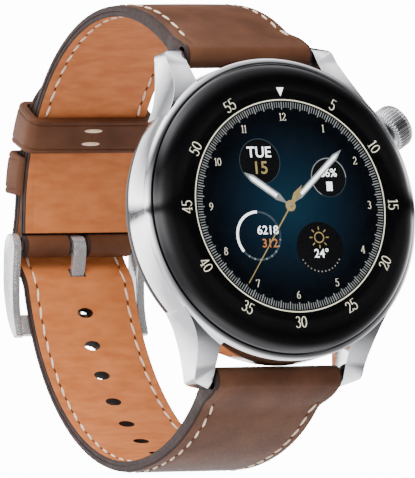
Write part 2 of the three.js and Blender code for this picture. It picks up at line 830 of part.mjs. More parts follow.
function buckleArm(from, to) {
  const arm = loopShape([
    [-1.9, 0.5],
    [-1.3, -0.3],
    [0, -0.6],
    [2.5, -0.1],
    [6, 0.9],
    [9.5, 1.9],
    [BUCKLE_LENGTH, 2.1],
    [BUCKLE_LENGTH, 3.1],
    [10, 4.0],
    [6, 3.9],
    [3, 3.3],
    [0, 2.7],
    [-1.3, 2.3],
    [-1.9, 1.6],
  ]);
  return extrudeAcross(arm, from, to);
}

function buckleFrame() {
  const end = BUCKLE_LENGTH;
  const bar = extrudeAcross(
    loopShape([[end - 3.2, 2.15], [end, 2.1], [end, 3.1], [end - 3.2, 3.15]]),
    -BUCKLE_OUTER + 0.2,
    BUCKLE_OUTER - 0.2,
  );
  const bore = ringAcross(
    loopPoint(BUCKLE_AT, BUCKLE_LIFT), BAR_RADIUS + GAP, BUCKLE_BAR_HALF + 0.15);
  const left = buckleArm(-BUCKLE_OUTER, -BUCKLE_INNER);
  const right = buckleArm(BUCKLE_INNER, BUCKLE_OUTER);
  return carve(bar, [left, right], [bore]);
}

function buckleBar() {
  return ringAcross(loopPoint(BUCKLE_AT, BUCKLE_LIFT), BAR_RADIUS, BUCKLE_BAR_HALF);
}

// ---------------------------------------------------------------- assembly

const watch = new THREE.Group();

function add(name, geometry, look) {
  const mesh = new THREE.Mesh(closed(geometry), look);
  mesh.name = name;
  watch.add(mesh);
}

add('case_body', caseBody(), POLISHED_STEEL);
add('bezel_ring', bezelRing(), POLISHED_STEEL);
add('cover_glass', coverGlass(), GLASS);
add('glass_gasket', glassGasket(), SEAL);
add('display_panel', discAt(DISPLAY_RADIUS, DISPLAY_FRONT, -11.6), DISPLAY);
add('inner_frame', innerFrame(), BLACK_PLASTIC);
add('main_board', mainBoard(), BOARD);
add('battery', battery(), CELL);
add('vibration_motor', block(10, 13.6, -8.6, -5.4, -4.5, 4.5), SATIN_STEEL);
add('speaker', block(-5, 5, -8.6, -5.4, 13.2, 16.6), BLACK_PLASTIC);
add('microphone', block(-1.8, 1.8, -8.6, -7.4, -16.4, -13.6), SATIN_STEEL);
add('charging_coil', turnedRing([[8, -2.5], [13, -2.5], [13, -2.05], [8, -2.05]], 36), COPPER);
add('ferrite_sheet', discAt(14.4, -2.95, -2.65, 48), FERRITE);
add('sensor_board', discAt(7.2, -1.9, -1.3, 40), BOARD);
add('sensor_window', sensorWindow(), GLASS);
add('rear_cover', rearCover(), BLACK_PLASTIC);
add('rear_gasket', rearGasket(), SEAL);
SCREW_ANGLES.forEach((degrees, index) => {
  add(`rear_cover_screw_${index + 1}`, rearCoverScrew(degrees), SATIN_STEEL);
});

add('crown_cap', crownCap(), POLISHED_STEEL);
add('crown_stem', crownStem(), SATIN_STEEL);
add('crown_tube', crownTube(), SATIN_STEEL);
add('crown_seal', stemSeal(22, CROWN_ANGLE), SEAL);
add('crown_circlip', stemClip(19.6, CROWN_ANGLE), SATIN_STEEL);
add('crown_plunger', crownPlunger(), SATIN_STEEL);
add('crown_switch', switchBox(16.5, CROWN_ANGLE), BLACK_PLASTIC);
add('side_button', sideButton(), POLISHED_STEEL);
add('side_button_seal', stemSeal(21.15, BUTTON_ANGLE), SEAL);
add('side_button_clip', stemClip(19.6, BUTTON_ANGLE), SATIN_STEEL);
add('side_button_switch', switchBox(17.4, BUTTON_ANGLE), BLACK_PLASTIC);

add('upper_spring_bar', barTube(BAR_Z), SATIN_STEEL);
add('upper_release_pin', releasePin(BAR_Z), SATIN_STEEL);
add('lower_spring_bar', barTube(-BAR_Z), SATIN_STEEL);
add('lower_release_pin', releasePin(-BAR_Z), SATIN_STEEL);

add('upper_strap_outer', upperStrapOuter(), OUTER_LEATHER);
add('upper_strap_lining', upperStrapLining(), LINING_LEATHER);
add('lower_strap_outer', lowerStrapOuter(), OUTER_LEATHER);
add('lower_strap_lining', lowerStrapLining(), LINING_LEATHER);
add('fixed_keeper', fixedKeeper(), OUTER_LEATHER);
add('free_keeper', freeKeeper(), OUTER_LEATHER);
add('buckle_frame', buckleFrame(), POLISHED_STEEL);
add('buckle_tongue', buckleTongue(), POLISHED_STEEL);
add('buckle_bar', buckleBar(), SATIN_STEEL);

export default watch;
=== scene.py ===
# A round steel smartwatch on a buckled leather strap. Lengths are in millimetres until MM scales them.
import json
from math import cos, dist, exp, hypot, pi, radians, sin, sqrt
import bpy
import bmesh
from mathutils import Matrix, Vector

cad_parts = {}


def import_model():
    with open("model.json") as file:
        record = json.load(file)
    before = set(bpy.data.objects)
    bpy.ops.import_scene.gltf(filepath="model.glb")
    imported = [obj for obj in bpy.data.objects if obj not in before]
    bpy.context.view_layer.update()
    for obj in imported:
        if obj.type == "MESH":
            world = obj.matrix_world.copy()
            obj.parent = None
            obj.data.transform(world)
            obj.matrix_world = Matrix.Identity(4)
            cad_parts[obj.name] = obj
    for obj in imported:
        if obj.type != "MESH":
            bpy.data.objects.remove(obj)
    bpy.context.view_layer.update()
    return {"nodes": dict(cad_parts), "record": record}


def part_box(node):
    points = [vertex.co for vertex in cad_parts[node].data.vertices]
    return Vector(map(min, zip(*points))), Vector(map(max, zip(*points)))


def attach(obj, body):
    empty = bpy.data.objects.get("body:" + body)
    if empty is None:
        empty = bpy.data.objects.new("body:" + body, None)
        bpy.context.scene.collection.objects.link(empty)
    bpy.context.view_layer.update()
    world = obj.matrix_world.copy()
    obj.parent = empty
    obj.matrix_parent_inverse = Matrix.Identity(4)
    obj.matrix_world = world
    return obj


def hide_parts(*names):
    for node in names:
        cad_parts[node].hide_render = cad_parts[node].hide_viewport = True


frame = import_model()
MM = 0.001

# ---- sizes


def span(node, axis):
    low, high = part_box(node)
    return low[axis] / MM, high[axis] / MM


GLASS_FRONT = span("cover_glass", 1)[0]
GLASS_RADIUS = span("cover_glass", 0)[1]
GLASS_FLAT_RADIUS = 17.5
GLASS_EDGE_FRONT = -10.5
CASE_RADIUS = 23.1
CASE_FRONT = -9.6
CASE_BACK = span("rear_cover", 1)[0] - 0.1
CASE_BORE = 20.6
COVER_RADIUS = span("rear_cover", 0)[1]
COVER_BACK = span("rear_cover", 1)[1]
WINDOW_RADIUS = span("sensor_window", 0)[1]
SCREW_CIRCLE, SCREW_WELL_RADIUS = 19.2, 1.2
GLOW_RADIUS = 14.9

LUG_INNER, LUG_OUTER = 11.2, 14.5
LUG_TIP = span("case_body", 2)[1]
BAR_Y = sum(span("upper_spring_bar", 1)) / 2
BAR_Z = sum(span("upper_spring_bar", 2)) / 2
SIDE_AXIS_Y = -6.7
CROWN_ANGLE, BUTTON_ANGLE = 30, -30
CROWN_RADIUS, CROWN_START, CROWN_END = 3.45, 23.95, 27.3
CROWN_TEETH = 40
BUTTON_LENGTH, BUTTON_WIDTH, BUTTON_FACE = 9.0, 2.9, 23.75

LOOP_Y, LOOP_Z = 23.7, 1.35
LOOP_HALF_DEPTH, LOOP_HALF_HEIGHT = 31.9, 34.0
LOOP_MEAN = (LOOP_HALF_DEPTH + LOOP_HALF_HEIGHT) / 2

STRAP_WIDTH_LUG, STRAP_WIDTH_NECK, STRAP_WIDTH = 21.6, 20.6, 18.9
STRAP_TAPER_LENGTH, CROWN_SHARE, CROWN_BLEND = 70, 0.4, 6
SHOULDER_FROM_BAR, SHOULDER_LENGTH = 3.2, 2.6
STRAP_THICK, WRAP_RADIUS, LINING, GAP = 1.8, 1.9, 0.75, 0.1
PADDING_LENGTH = 26
TAIL_TIP, TAIL_TIP_LENGTH = 71.0, 9
HOLE_FIRST, HOLE_PITCH, HOLE_COUNT = 104.3, 5.4, 8
HOLE_WIDTH, HOLE_LENGTH = 2.7, 1.6
BUCKLE_AT, BUCKLE_LIFT, BUCKLE_WRAP_RADIUS = 99.3, 1.05, 1.8
BUCKLE_LENGTH, BUCKLE_INNER, BUCKLE_OUTER = 13.0, 10.2, 11.7
TONGUE_WIDTH, TONGUE_THICK, TONGUE_LENGTH = 2.1, 0.9, 12.4
TONGUE_DIP, TONGUE_RISE, TONGUE_RISE_LENGTH = 0.25, 4.12, 11.1
BAR_RADIUS, BAR_BORE, TONGUE_EYE_RADIUS = 0.75, 0.92, 1.6
FREE_KEEPER_AT, FIXED_KEEPER_AT = 81.8, 89.0
KEEPER_WIDTH, KEEPER_THICK = 5.8, 1.15
EDGE_FALL, LOWER_SETTLED_LIFT = 0.12, 0.9
SETTLE_LENGTH, BAR_BLEND_LENGTH = 30, 6
TAIL_STEP_LIFT, TAIL_STEP_LENGTH = 0.15, 5.5
TAIL_BULGE, TAIL_BULGE_LENGTH = 1.15, 2.9
STITCH_GROOVE, STITCH_SLANT, STITCH_FROM_BAR = 0.13, 0.13, 4.6
STITCH_INSET, STITCH_PITCH, STITCH_LENGTH, THREAD_RADIUS = 1.7, 2.8, 2.1, 0.19

# ---- materials

RELIEF_DEPTH = 0.12 * MM


def rgb(red, green, blue):
    linear = []
    for value in (red, green, blue):
        share = value / 255
        linear.append(share / 12.92 if share < 0.04045 else ((share + 0.055) / 1.055) ** 2.4)
    return (*linear, 1.0)


def wire(node, **values):
    """Sets or links a node's own sockets; a socket's name is written with _ for each space."""
    for name, value in values.items():
        socket = node.inputs[name.replace("_", " ")]
        if isinstance(value, bpy.types.NodeSocket):
            node.id_data.links.new(value, socket)
        else:
            socket.default_value = value


def add(tree, kind, **values):
    node = tree.nodes.new("ShaderNode" + kind)
    wire(node, **values)
    return node


def noise(tree, scale, stretch=(1, 1, 1), detail=4.0):
    place = add(tree, "TexCoord").outputs["Object"]
    mapping = add(tree, "Mapping", Vector=place, Scale=stretch)
    texture = add(tree, "TexNoise", Vector=mapping.outputs["Vector"], Scale=scale, Detail=detail)
    return texture.outputs["Fac"]


def ramp(tree, value, stops):
    node = add(tree, "ValToRGB", Fac=value)
    elements = node.color_ramp.elements
    while len(elements) < len(stops):
        elements.new(0.5)
    for element, (position, colour) in zip(elements, stops):
        element.position = position
        element.color = colour
    return node.outputs["Color"]


def between(tree, value, low, high):
    node = add(tree, "MapRange", Value=value, From_Min=0.3, From_Max=0.7, To_Min=low, To_Max=high)
    return node.outputs["Result"]


def surface(name, dark, light, scale, roughness, grain, bump, metallic=0.0, stretch=(1, 1, 1),
            grain_stretch=(1, 1, 1), specular=0.5, coat=0.0):
    """A finish whose tone, gloss and relief all vary, from two noises of different size."""
    made = bpy.data.materials.new(name)
    made.use_nodes = True
    tree = made.node_tree
    fine = noise(tree, grain, grain_stretch, 6.0)
    relief = add(tree, "Bump", Strength=bump, Distance=RELIEF_DEPTH, Height=fine)
    wire(tree.nodes["Principled BSDF"],
         Base_Color=ramp(tree, noise(tree, scale, stretch), [(0.32, dark), (0.68, light)]),
         Roughness=between(tree, fine, *roughness), Normal=relief.outputs["Normal"], Metallic=metallic,
         Specular_IOR_Level=specular, Coat_Weight=coat, Coat_Roughness=0.2)
    return made


def glowing(name, dark, light, strength, scale=900):
    made = surface(name, rgb(4, 4, 5), rgb(8, 8, 9), scale, (0.2, 0.3), 2000, 0.02)
    tree = made.node_tree
    colour = ramp(tree, noise(tree, scale), [(0.3, dark), (0.7, light)])
    wire(tree.nodes["Principled BSDF"], Emission_Color=colour, Emission_Strength=strength)
    return made


def dial_glow():
    """The lit centre of the dial: blue-green in the middle and black towards the ticks."""
    made = surface("dial_glow", rgb(2, 3, 5), rgb(4, 6, 9), 400, (0.1, 0.16), 1500, 0.01)
    tree = made.node_tree
    place = add(tree, "TexCoord").outputs["Object"]
    flat = (1 / (GLOW_RADIUS * MM), 0.0, 1 / (GLOW_RADIUS * MM))
    length = add(tree, "VectorMath")
    length.operation = "LENGTH"
    wire(length, Vector=add(tree, "Mapping", Vector=place, Scale=flat).outputs["Vector"])
    stir = add(tree, "Math")
    stir.operation = "MULTIPLY_ADD"
    stir.inputs[1].default_value = 0.16
    tree.links.new(noise(tree, 110, (1, 1, 1), 3.0), stir.inputs[0])
    tree.links.new(length.outputs["Value"], stir.inputs[2])
    stops = [(0.1, rgb(22, 52, 70)), (0.5, rgb(12, 34, 50)), (0.8, rgb(6, 17, 27)), (1.0, rgb(1, 2, 4))]
    colour = ramp(tree, stir.outputs[0], stops)
    wire(tree.nodes["Principled BSDF"], Emission_Color=colour, Emission_Strength=1.0)
    return made


STEEL = surface("polished_steel", (0.84, 0.85, 0.86, 1), (0.94, 0.94, 0.95, 1), 160, (0.06, 0.11), 2400,
                0.01, 1.0, grain_stretch=(1, 1, 0.2))
BRUSHED = surface("brushed_steel", (0.80, 0.81, 0.82, 1), (0.91, 0.91, 0.92, 1), 300, (0.10, 0.16), 2600,
                  0.02, 1.0, grain_stretch=(1, 0.15, 1))
SATIN = surface("satin_steel", (0.55, 0.56, 0.58, 1), (0.72, 0.73, 0.74, 1), 500, (0.25, 0.42), 4000,
                0.1, 1.0)
BLACK_GLASS = surface("black_glass", rgb(3, 3, 4), rgb(6, 6, 7), 120, (0.10, 0.14), 900, 0.002)
LEATHER = surface("outer_leather", rgb(74, 44, 28), rgb(94, 60, 41), 150, (0.44, 0.58), 2300, 0.3,
                  specular=0.16)
EDGE_PAINT = surface("edge_paint", rgb(36, 23, 19), rgb(48, 33, 28), 500, (0.5, 0.68), 1800, 0.3,
                     specular=0.2)
LINING_FACE = surface("lining_leather", rgb(172, 96, 48), rgb(190, 114, 64), 700, (0.55, 0.75), 2600, 0.28,
                      stretch=(0.35, 1, 1), grain_stretch=(0.3, 1, 1), specular=0.25)
THREAD = surface("thread", rgb(214, 186, 158), rgb(242, 220, 196), 2200, (0.6, 0.8), 5200, 0.6,
                 grain_stretch=(1, 1, 1.6), specular=0.3)
DARK_HOLE = surface("needle_hole", rgb(70, 40, 24), rgb(96, 60, 38), 1800, (0.8, 0.95), 4000, 0.4,
                    specular=0.1)
CERAMIC = surface("rear_ceramic", rgb(36, 29, 26), rgb(48, 40, 37), 300, (0.4, 0.5), 1800, 0.02,
                  specular=0.2)
BUCKLE_STEEL = surface("buckle_steel", (0.80, 0.80, 0.81, 1), (0.90, 0.90, 0.905, 1), 260, (0.2, 0.28),
                       2600, 0.03, 0.75, grain_stretch=(1, 1, 0.2))
# Near-black steel for the crown's grooves: painted shade standing in for the dark that falls in these recesses.
GROOVE_PAINTED_SHADE = surface("crown_groove_painted_shade", (0.05, 0.05, 0.055, 1), (0.12, 0.12, 0.125, 1), 700, (0.3, 0.45), 3200,
                 0.1, 0.8)
WINDOW_GLASS = surface("window_glass", rgb(6, 7, 10), rgb(26, 30, 36), 380, (0.04, 0.09), 1500, 0.01,
                       coat=0.3)
CREAM_INK = glowing("cream_ink", rgb(222, 216, 190), rgb(244, 238, 214), 1.8)
GOLD_INK = glowing("gold_ink", rgb(176, 150, 92), rgb(206, 182, 122), 1.0)
ORANGE_INK = glowing("orange_ink", rgb(214, 122, 60), rgb(236, 150, 84), 1.1)
BLACK_INK = glowing("black_ink", rgb(1, 2, 3), rgb(3, 5, 8), 0.4, 90)
WHITE_INK = glowing("white_ink", rgb(226, 230, 232), rgb(250, 252, 252), 3.0)
GREY_INK = glowing("grey_ink", rgb(150, 156, 158), rgb(184, 190, 192), 0.9)
DIM_INK = glowing("dim_ink", rgb(52, 70, 82), rgb(84, 104, 116), 0.8)
DIAL_GLOW = dial_glow()

NODE_FINISHES = {
    "polished_steel": STEEL, "satin_steel": SATIN, "glass": WINDOW_GLASS, "display": DIM_INK,
    "rear_ceramic": CERAMIC, "outer_leather": LEATHER, "lining_leather": LINING_FACE,
    "seal_rubber": surface("seal_rubber", rgb(18, 18, 19), rgb(34, 34, 35), 900, (0.7, 0.9), 4000, 0.3),
    "black_plastic": surface("black_plastic", rgb(24, 24, 26), rgb(40, 40, 43), 700, (0.45, 0.6), 3500, 0.2),
    "board": surface("board", rgb(12, 66, 40), rgb(30, 104, 66), 1400, (0.35, 0.55), 5000, 0.25),
    "cell_foil": surface("cell_foil", rgb(128, 132, 138), rgb(176, 180, 186), 350, (0.3, 0.45), 1500, 0.3, 0.9),
    "copper": surface("copper", rgb(160, 92, 52), rgb(204, 130, 82), 900, (0.25, 0.45), 4000, 0.3, 1.0),
    "ferrite": surface("ferrite", rgb(44, 45, 49), rgb(68, 70, 74), 1100, (0.6, 0.8), 4200, 0.3),
}
for part in frame["record"]["subparts"]:
    shown = frame["nodes"][part["node"]]
    shown.data.materials.clear()
    shown.data.materials.append(NODE_FINISHES[part["material_slot"]])

# ---- mesh helpers


def tube(rows, closed=False):
    """Joins equal closed loops of points into a skin, with flat ends if it isn't closed."""
    count = len(rows[0])
    verts = [point for row in rows for point in row]
    faces = []
    for i in range(len(rows) if closed else len(rows) - 1):
        a, b = i * count, ((i + 1) % len(rows)) * count
        for j in range(count):
            k = (j + 1) % count
            faces.append((a + j, a + k, b + k, b + j))
    if not closed:
        faces.append(tuple(range(count)))
        faces.append(tuple(range(len(verts) - count, len(verts))))
    return verts, faces


def turned(points, segments=192):
    """A body of revolution about the watch's own axis, from (radius, y) points."""
    rows = []
    for i in range(segments):
        angle = 2 * pi * i / segments
        rows.append([(r * cos(angle), y, r * sin(angle)) for r, y in points])
    return tube(rows, True)


def turned_along_x(points, centre=(0, 0), segments=48, ripple=None):
    """A body of revolution about a line along X, from (radius, x) points."""
    rows = []
    for i in range(segments):
        angle = 2 * pi * i / segments
        row = []
        for index, (r, x) in enumerate(points):
            if ripple:
                r -= ripple(index, angle)
            row.append((x, centre[0] + r * cos(angle), centre[1] + r * sin(angle)))
        rows.append(row)
    return tube(rows, True)


def rod(radius, half, centre):
    return turned_along_x([(0, -half), (radius, -half), (radius, half), (0, half)], centre)


def prism(outline, axis, start, end):
    """A straight prism: the outline is (x, z) along Y, or (y, z) along X."""
    if axis == "y":
        return tube([[(x, level, z) for x, z in outline] for level in (start, end)])
    return tube([[(level, y, z) for y, z in outline] for level in (start, end)])


def on_flank(verts, degrees):
    c, s = cos(radians(degrees)), sin(radians(degrees))
    return [(x * c - z * s, y + SIDE_AXIS_Y, x * s + z * c) for x, y, z in verts]


def bezier(a, b, c, d, steps=14):
    points = []
    for i in range(1, steps + 1):
        t = i / steps
        k = ((1 - t) ** 3, 3 * t * (1 - t) ** 2, 3 * t * t * (1 - t), t ** 3)
        points.append(tuple(k[0] * a[n] + k[1] * b[n] + k[2] * c[n] + k[3] * d[n] for n in (0, 1)))
    return points


def join(parts):
    verts, faces = [], []
    for more_verts, more_faces in parts:
        base = len(verts)
        verts += more_verts
        faces += [tuple(base + index for index in face) for face in more_faces]
    return verts, faces


SHARP_ANGLE, SOFT_ANGLE = 35, 28


def finish_mesh(mesh, angle):
    mesh.shade_smooth()
    mesh.set_sharp_from_angle(angle=radians(angle))


def placed(name, data):
    made = bpy.data.objects.new(name, data)
    bpy.context.scene.collection.objects.link(made)
    return made


def solid(name, shape, materials, indices=None, angle=SHARP_ANGLE, weld=True):
    verts, faces = shape
    mesh = bpy.data.meshes.new(name)
    mesh.from_pydata([Vector(v) * MM for v in verts], [], faces)
    for material in materials:
        mesh.materials.append(material)
    if indices:
        mesh.polygons.foreach_set("material_index", indices)
    work = bmesh.new()
    work.from_mesh(mesh)
    if weld:
        bmesh.ops.remove_doubles(work, verts=work.verts, dist=1e-7)
    bmesh.ops.recalc_face_normals(work, faces=work.faces)
    work.to_mesh(mesh)
    work.free()
    finish_mesh(mesh, angle)
    made = placed(name, mesh)
    return made


def settle(made, angle=SHARP_ANGLE):
    """Bakes the modifiers in, so that the edges can be marked sharp again."""
    bpy.context.view_layer.update()
    graph = bpy.context.evaluated_depsgraph_get()
    mesh = bpy.data.meshes.new_from_object(made.evaluated_get(graph))
    made.modifiers.clear()
    made.data = mesh
    finish_mesh(mesh, angle)


def combine(made, other, operation, angle=SHARP_ANGLE):
    step = made.modifiers.new(operation, "BOOLEAN")
    step.operation = operation
    step.solver = "EXACT"
    step.object = other
    settle(made, angle)
    bpy.data.objects.remove(other)


def soften(made, width, segments=3):
    step = made.modifiers.new("soften", "BEVEL")
    step.width = width * MM
    step.segments = segments
    step.limit_method = "ANGLE"
    step.angle_limit = radians(SOFT_ANGLE)
    settle(made)


def declare(made, body, slot, *nodes):
    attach(made, body)
    if nodes:
        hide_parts(*nodes)


# ---- the strap's curve


def smooth(value):
    value = min(1.0, max(0.0, value))
    return value * value * (3 - 2 * value)


def mix(a, b, share):
    return a + (b - a) * share


def loop_point(distance, lift):
    """(y, z) at a distance along the loop from the dial over 12 o'clock, lifted outwards."""
    angle = distance / LOOP_MEAN
    out = Vector((-cos(angle) / LOOP_HALF_DEPTH, sin(angle) / LOOP_HALF_HEIGHT)).normalized()
    y = LOOP_Y - LOOP_HALF_DEPTH * cos(angle)
    z = LOOP_Z + LOOP_HALF_HEIGHT * sin(angle)
    return y + out.x * lift, z + out.y * lift


def nearest_on_loop(y, z):
    distances = [step * 0.02 for step in range(int(LOOP_MEAN * 2 * pi / 0.02))]
    gaps = [dist(loop_point(distance, 0), (y, z)) for distance in distances]
    lift = min(gaps)
    return distances[gaps.index(lift)], lift


UPPER_BAR, UPPER_BAR_LIFT = nearest_on_loop(BAR_Y, BAR_Z)
LOWER_BAR, LOWER_BAR_LIFT = nearest_on_loop(BAR_Y, -BAR_Z)


def on_loop(points):
    """Bends (across, lift, distance) points onto the loop."""
    return [(x, *loop_point(distance, lift)) for x, lift, distance in points]


def thickness(along, bar):
    return mix(STRAP_THICK, 2 * WRAP_RADIUS, smooth(1 - abs(along - bar) / PADDING_LENGTH))


def base_lift(along, is_tail):
    bar, lift = (LOWER_BAR, LOWER_BAR_LIFT) if is_tail else (UPPER_BAR, UPPER_BAR_LIFT)
    settled = LOWER_SETTLED_LIFT if is_tail else 0
    away = abs(along - bar)
    at_bar = lift - WRAP_RADIUS - settled
    base = settled * smooth(1 - away / SETTLE_LENGTH) + at_bar * smooth(1 - away / BAR_BLEND_LENGTH)
    if is_tail:
        base += (STRAP_THICK + TAIL_STEP_LIFT) * smooth((HOLE_FIRST + 1.4 - along) / TAIL_STEP_LENGTH)
        base += TAIL_BULGE * exp(-((along - BUCKLE_AT) / TAIL_BULGE_LENGTH) ** 2)
    return base


def crown_drop(along, bar):
    """How much lower the padded strap is at its edges than in its middle."""
    drop = CROWN_SHARE * (thickness(along, bar) - STRAP_THICK)
    return drop * smooth(abs(along - bar) / CROWN_BLEND)


def half_width(along, is_tail):
    bar = LOWER_BAR if is_tail else UPPER_BAR
    past = abs(along - bar) - SHOULDER_FROM_BAR
    body = mix(STRAP_WIDTH_NECK, STRAP_WIDTH, min(1, max(0, past / STRAP_TAPER_LENGTH)))
    half = mix(STRAP_WIDTH_LUG, body, smooth(past / SHOULDER_LENGTH)) / 2
    if is_tail:
        left = min(1, (along - TAIL_TIP) / TAIL_TIP_LENGTH)
        half *= 0.12 + 0.88 * sqrt(max(0, 1 - (1 - left) ** 2))
    return half


def rounded_corner(x, height, corner, way_x, way_y, steps):
    """A quarter round from a side face at x to a face at the height, in the plane of the section."""
    angles = [pi / 2 * step / steps for step in range(steps + 1)]
    return [(x + way_x * corner * (1 - cos(angle)), height + way_y * corner * (1 - sin(angle)))
            for angle in angles]


def outer_section(half, low, high, drop, from_x=None, to_x=None):
    """The outer leather across the strap: a crowned top, stitch grooves and rounded, painted edges."""
    corner = min(0.5, (high - drop - low) * 0.45)
    left, right = -half if from_x is None else from_x, half if to_x is None else to_x

    def top(x):
        share = abs(x) / max(half, 0.01)
        groove = STITCH_GROOVE * exp(-((abs(x) - (half - STITCH_INSET)) / 0.38) ** 2)
        return high - drop * share ** 2 - EDGE_FALL * share ** 6 - groove

    steps = 76
    across = [mix(left + corner, right - corner, step / steps) for step in range(1, steps)]
    points = rounded_corner(left, top(half), corner, 1, -1, 6) + [(x, top(x)) for x in across]
    points += rounded_corner(right, top(half), corner, -1, -1, 6)[::-1]
    points += [(right, low), (mix(right, left, 0.5), low), (left, low)]
    tags = [1] * 4 + [0] * (3 + len(across) + 2) + [1] * 8
    return points, tags


def lining_section(half, low, high, drop):
    """The lining across the strap, its tan face on the wrist side."""
    half -= 0.1
    corner = 0.22

    def face(x):
        return low + 0.1 * exp(-((abs(x) - (half - STITCH_INSET + 0.1)) / 0.32) ** 2)

    steps = 64
    across = [mix(-half + corner, half - corner, step / steps) for step in range(1, steps)]
    points = [(-half, high)] + rounded_corner(-half, face(half), corner, 1, 1, 4)
    points += [(x, face(x)) for x in across]
    points += rounded_corner(half, face(half), corner, -1, 1, 4)[::-1] + [(half, high)]
    tags = [1] * 4 + [0] * (2 + len(across) + 1) + [1] * 5
    return points, tags


def strap_sweep(is_tail, start, end, section, low, high, **limits):
    """Sweeps a section between two distances; low and high are heights over the strap's base."""
    stations = [start + (end - start) * i / 150 for i in range(151)]
    if is_tail:
        fine = [TAIL_TIP + 0.005 + 9 * (i / 30) ** 1.6 for i in range(31)]
        stations = fine + [s for s in stations if s > fine[-1] + 0.3]
    bar = LOWER_BAR if is_tail else UPPER_BAR
    rows, tags = [], []
    for along in stations:
        base, thick = base_lift(along, is_tail), thickness(along, bar)
        points, tags = section(half_width(along, is_tail), base + low(thick), base + high(thick),
                               crown_drop(along, bar), **limits)
        rows.append(on_loop([(x, lift, along) for x, lift in points]))
    verts, faces = tube(rows)
    return verts, faces, tags * (len(rows) - 1) + [1, 1]


def rolled_end(centre, radius, start, end):
    """Leather rolled round a bar, its painted ends rounded."""
    profile = [(0, start), (radius - 0.45, start), (radius - 0.13, start + 0.12), (radius, start + 0.45)]
    profile += [(radius, mix(start, end, step / 8)) for step in range(1, 8)]
    profile += [(radius, end - 0.45), (radius - 0.13, end - 0.12), (radius - 0.45, end), (0, end)]
    verts, faces = turned_along_x(profile, centre)
    count = len(profile)
    tags = [1 if j < 3 or j >= count - 4 else 0 for j in range(count)] * 48
    return verts, faces, tags


def painted_solid(name, shapes, faces_material):
    verts, faces = join([(shape[0], shape[1]) for shape in shapes])
    tags = [tag for shape in shapes for tag in shape[2]]
    return solid(name, (verts, faces), [faces_material, EDGE_PAINT], tags, 50, weld=False)


# ---- case


def lug(side_x, side_z):
    plan = [(LUG_INNER, 14), (LUG_INNER, LUG_TIP), (LUG_OUTER - 0.9, LUG_TIP - 0.7)]
    plan += bezier(plan[-1], (LUG_OUTER - 0.2, LUG_TIP - 0.9), (LUG_OUTER, LUG_TIP - 1.2),
                   (LUG_OUTER, LUG_TIP - 1.9), 6)
    plan += bezier(plan[-1], (LUG_OUTER + 0.1, 21.4), (15.4, 18.2), (17.9, 14.6))
    plan += [(16, 14)]
    profile = [(CASE_FRONT + 0.1, 12), (CASE_FRONT + 0.1, 15.6)]
    profile += bezier(profile[-1], (-9.1, 18.4), (-7.2, 20.9), (-5.4, 23.2))
    profile += [(-4.1, LUG_TIP - 0.9), (-2.6, LUG_TIP)]
    profile += bezier(profile[-1], (-1.3, LUG_TIP), (-0.9, LUG_TIP - 0.5), (-0.9, 24.9), 6)
    profile += bezier(profile[-1], (-0.95, 22), (-1.5, 19.5), (-2.6, 17))
    profile += [(-4.2, 12)]
    name = "lug_" + ("right" if side_x > 0 else "left") + ("_top" if side_z > 0 else "_bottom")
    made = solid(name, prism([(x * side_x, z * side_z) for x, z in plan], "y", -12, 0), [BRUSHED])
    across = (LUG_INNER - 1) * side_x, (LUG_OUTER + 5) * side_x
    cutter = solid("cutter", prism([(y, z * side_z) for y, z in profile], "x", *across), [STEEL])
    combine(made, cutter, "INTERSECT")
    soften(made, 0.16, 3)
    declare(made, "watch", "polished_steel", "case_body")


def oval_button(length, width):
    """(y, z) points round a bar with half-round ends, long in z."""
    radius, straight = width / 2, (length - width) / 2
    points = [(radius * cos(pi * i / 16), straight + radius * sin(pi * i / 16))
              for i in range(17)]
    return points + [(-y, -z) for y, z in points]


def case():
    ring = solid("case_ring", turned([
        (CASE_BORE, CASE_FRONT), (CASE_RADIUS - 0.25, CASE_FRONT), (CASE_RADIUS, CASE_FRONT + 0.35),
        (CASE_RADIUS, CASE_BACK - 0.9), (CASE_RADIUS - 0.35, CASE_BACK), (17.6, CASE_BACK),
        (17.6, CASE_BACK - 1), (CASE_BORE, CASE_BACK - 1),
    ]), [BRUSHED])
    pocket = prism(oval_button(BUTTON_LENGTH + 0.4, BUTTON_WIDTH + 0.4), "x", 21.6, 25)
    cutter = solid("cutter", (on_flank(pocket[0], BUTTON_ANGLE), pocket[1]), [BRUSHED])
    combine(ring, cutter, "DIFFERENCE")
    soften(ring, 0.12, 3)
    declare(ring, "watch", "polished_steel", "case_body")
    for side_x, side_z in ((-1, -1), (-1, 1), (1, -1), (1, 1)):
        lug(side_x, side_z)
    bezel = solid("bezel", turned([
        (GLASS_RADIUS + 0.1, CASE_FRONT - 0.1), (CASE_RADIUS - 0.05, CASE_FRONT - 0.1),
        (CASE_RADIUS + 0.05, CASE_FRONT - 0.3), (CASE_RADIUS - 0.2, CASE_FRONT - 0.55),
        (GLASS_RADIUS + 0.25, GLASS_EDGE_FRONT + 0.1), (GLASS_RADIUS + 0.1, GLASS_EDGE_FRONT + 0.15),
    ], 256), [STEEL])
    soften(bezel, 0.06, 3)
    declare(bezel, "watch", "polished_steel", "bezel_ring")


def glass():
    outline = [(0, GLASS_FRONT)] + [(GLASS_FLAT_RADIUS * i / 4, GLASS_FRONT) for i in range(1, 5)]
    fall = GLASS_EDGE_FRONT - GLASS_FRONT
    for step in range(1, 25):
        angle = step / 24 * pi / 2
        radius = GLASS_FLAT_RADIUS + (GLASS_RADIUS - GLASS_FLAT_RADIUS) * sin(angle)
        outline.append((radius, GLASS_EDGE_FRONT - fall * cos(angle)))
    outline += [(GLASS_RADIUS, -9.95), (20.3, -9.95), (18.4, -11.2), (18.4, -12.2), (0, -12.2)]
    made = solid("glass", turned(outline, 256), [BLACK_GLASS])
    declare(made, "watch", "glass", "cover_glass")


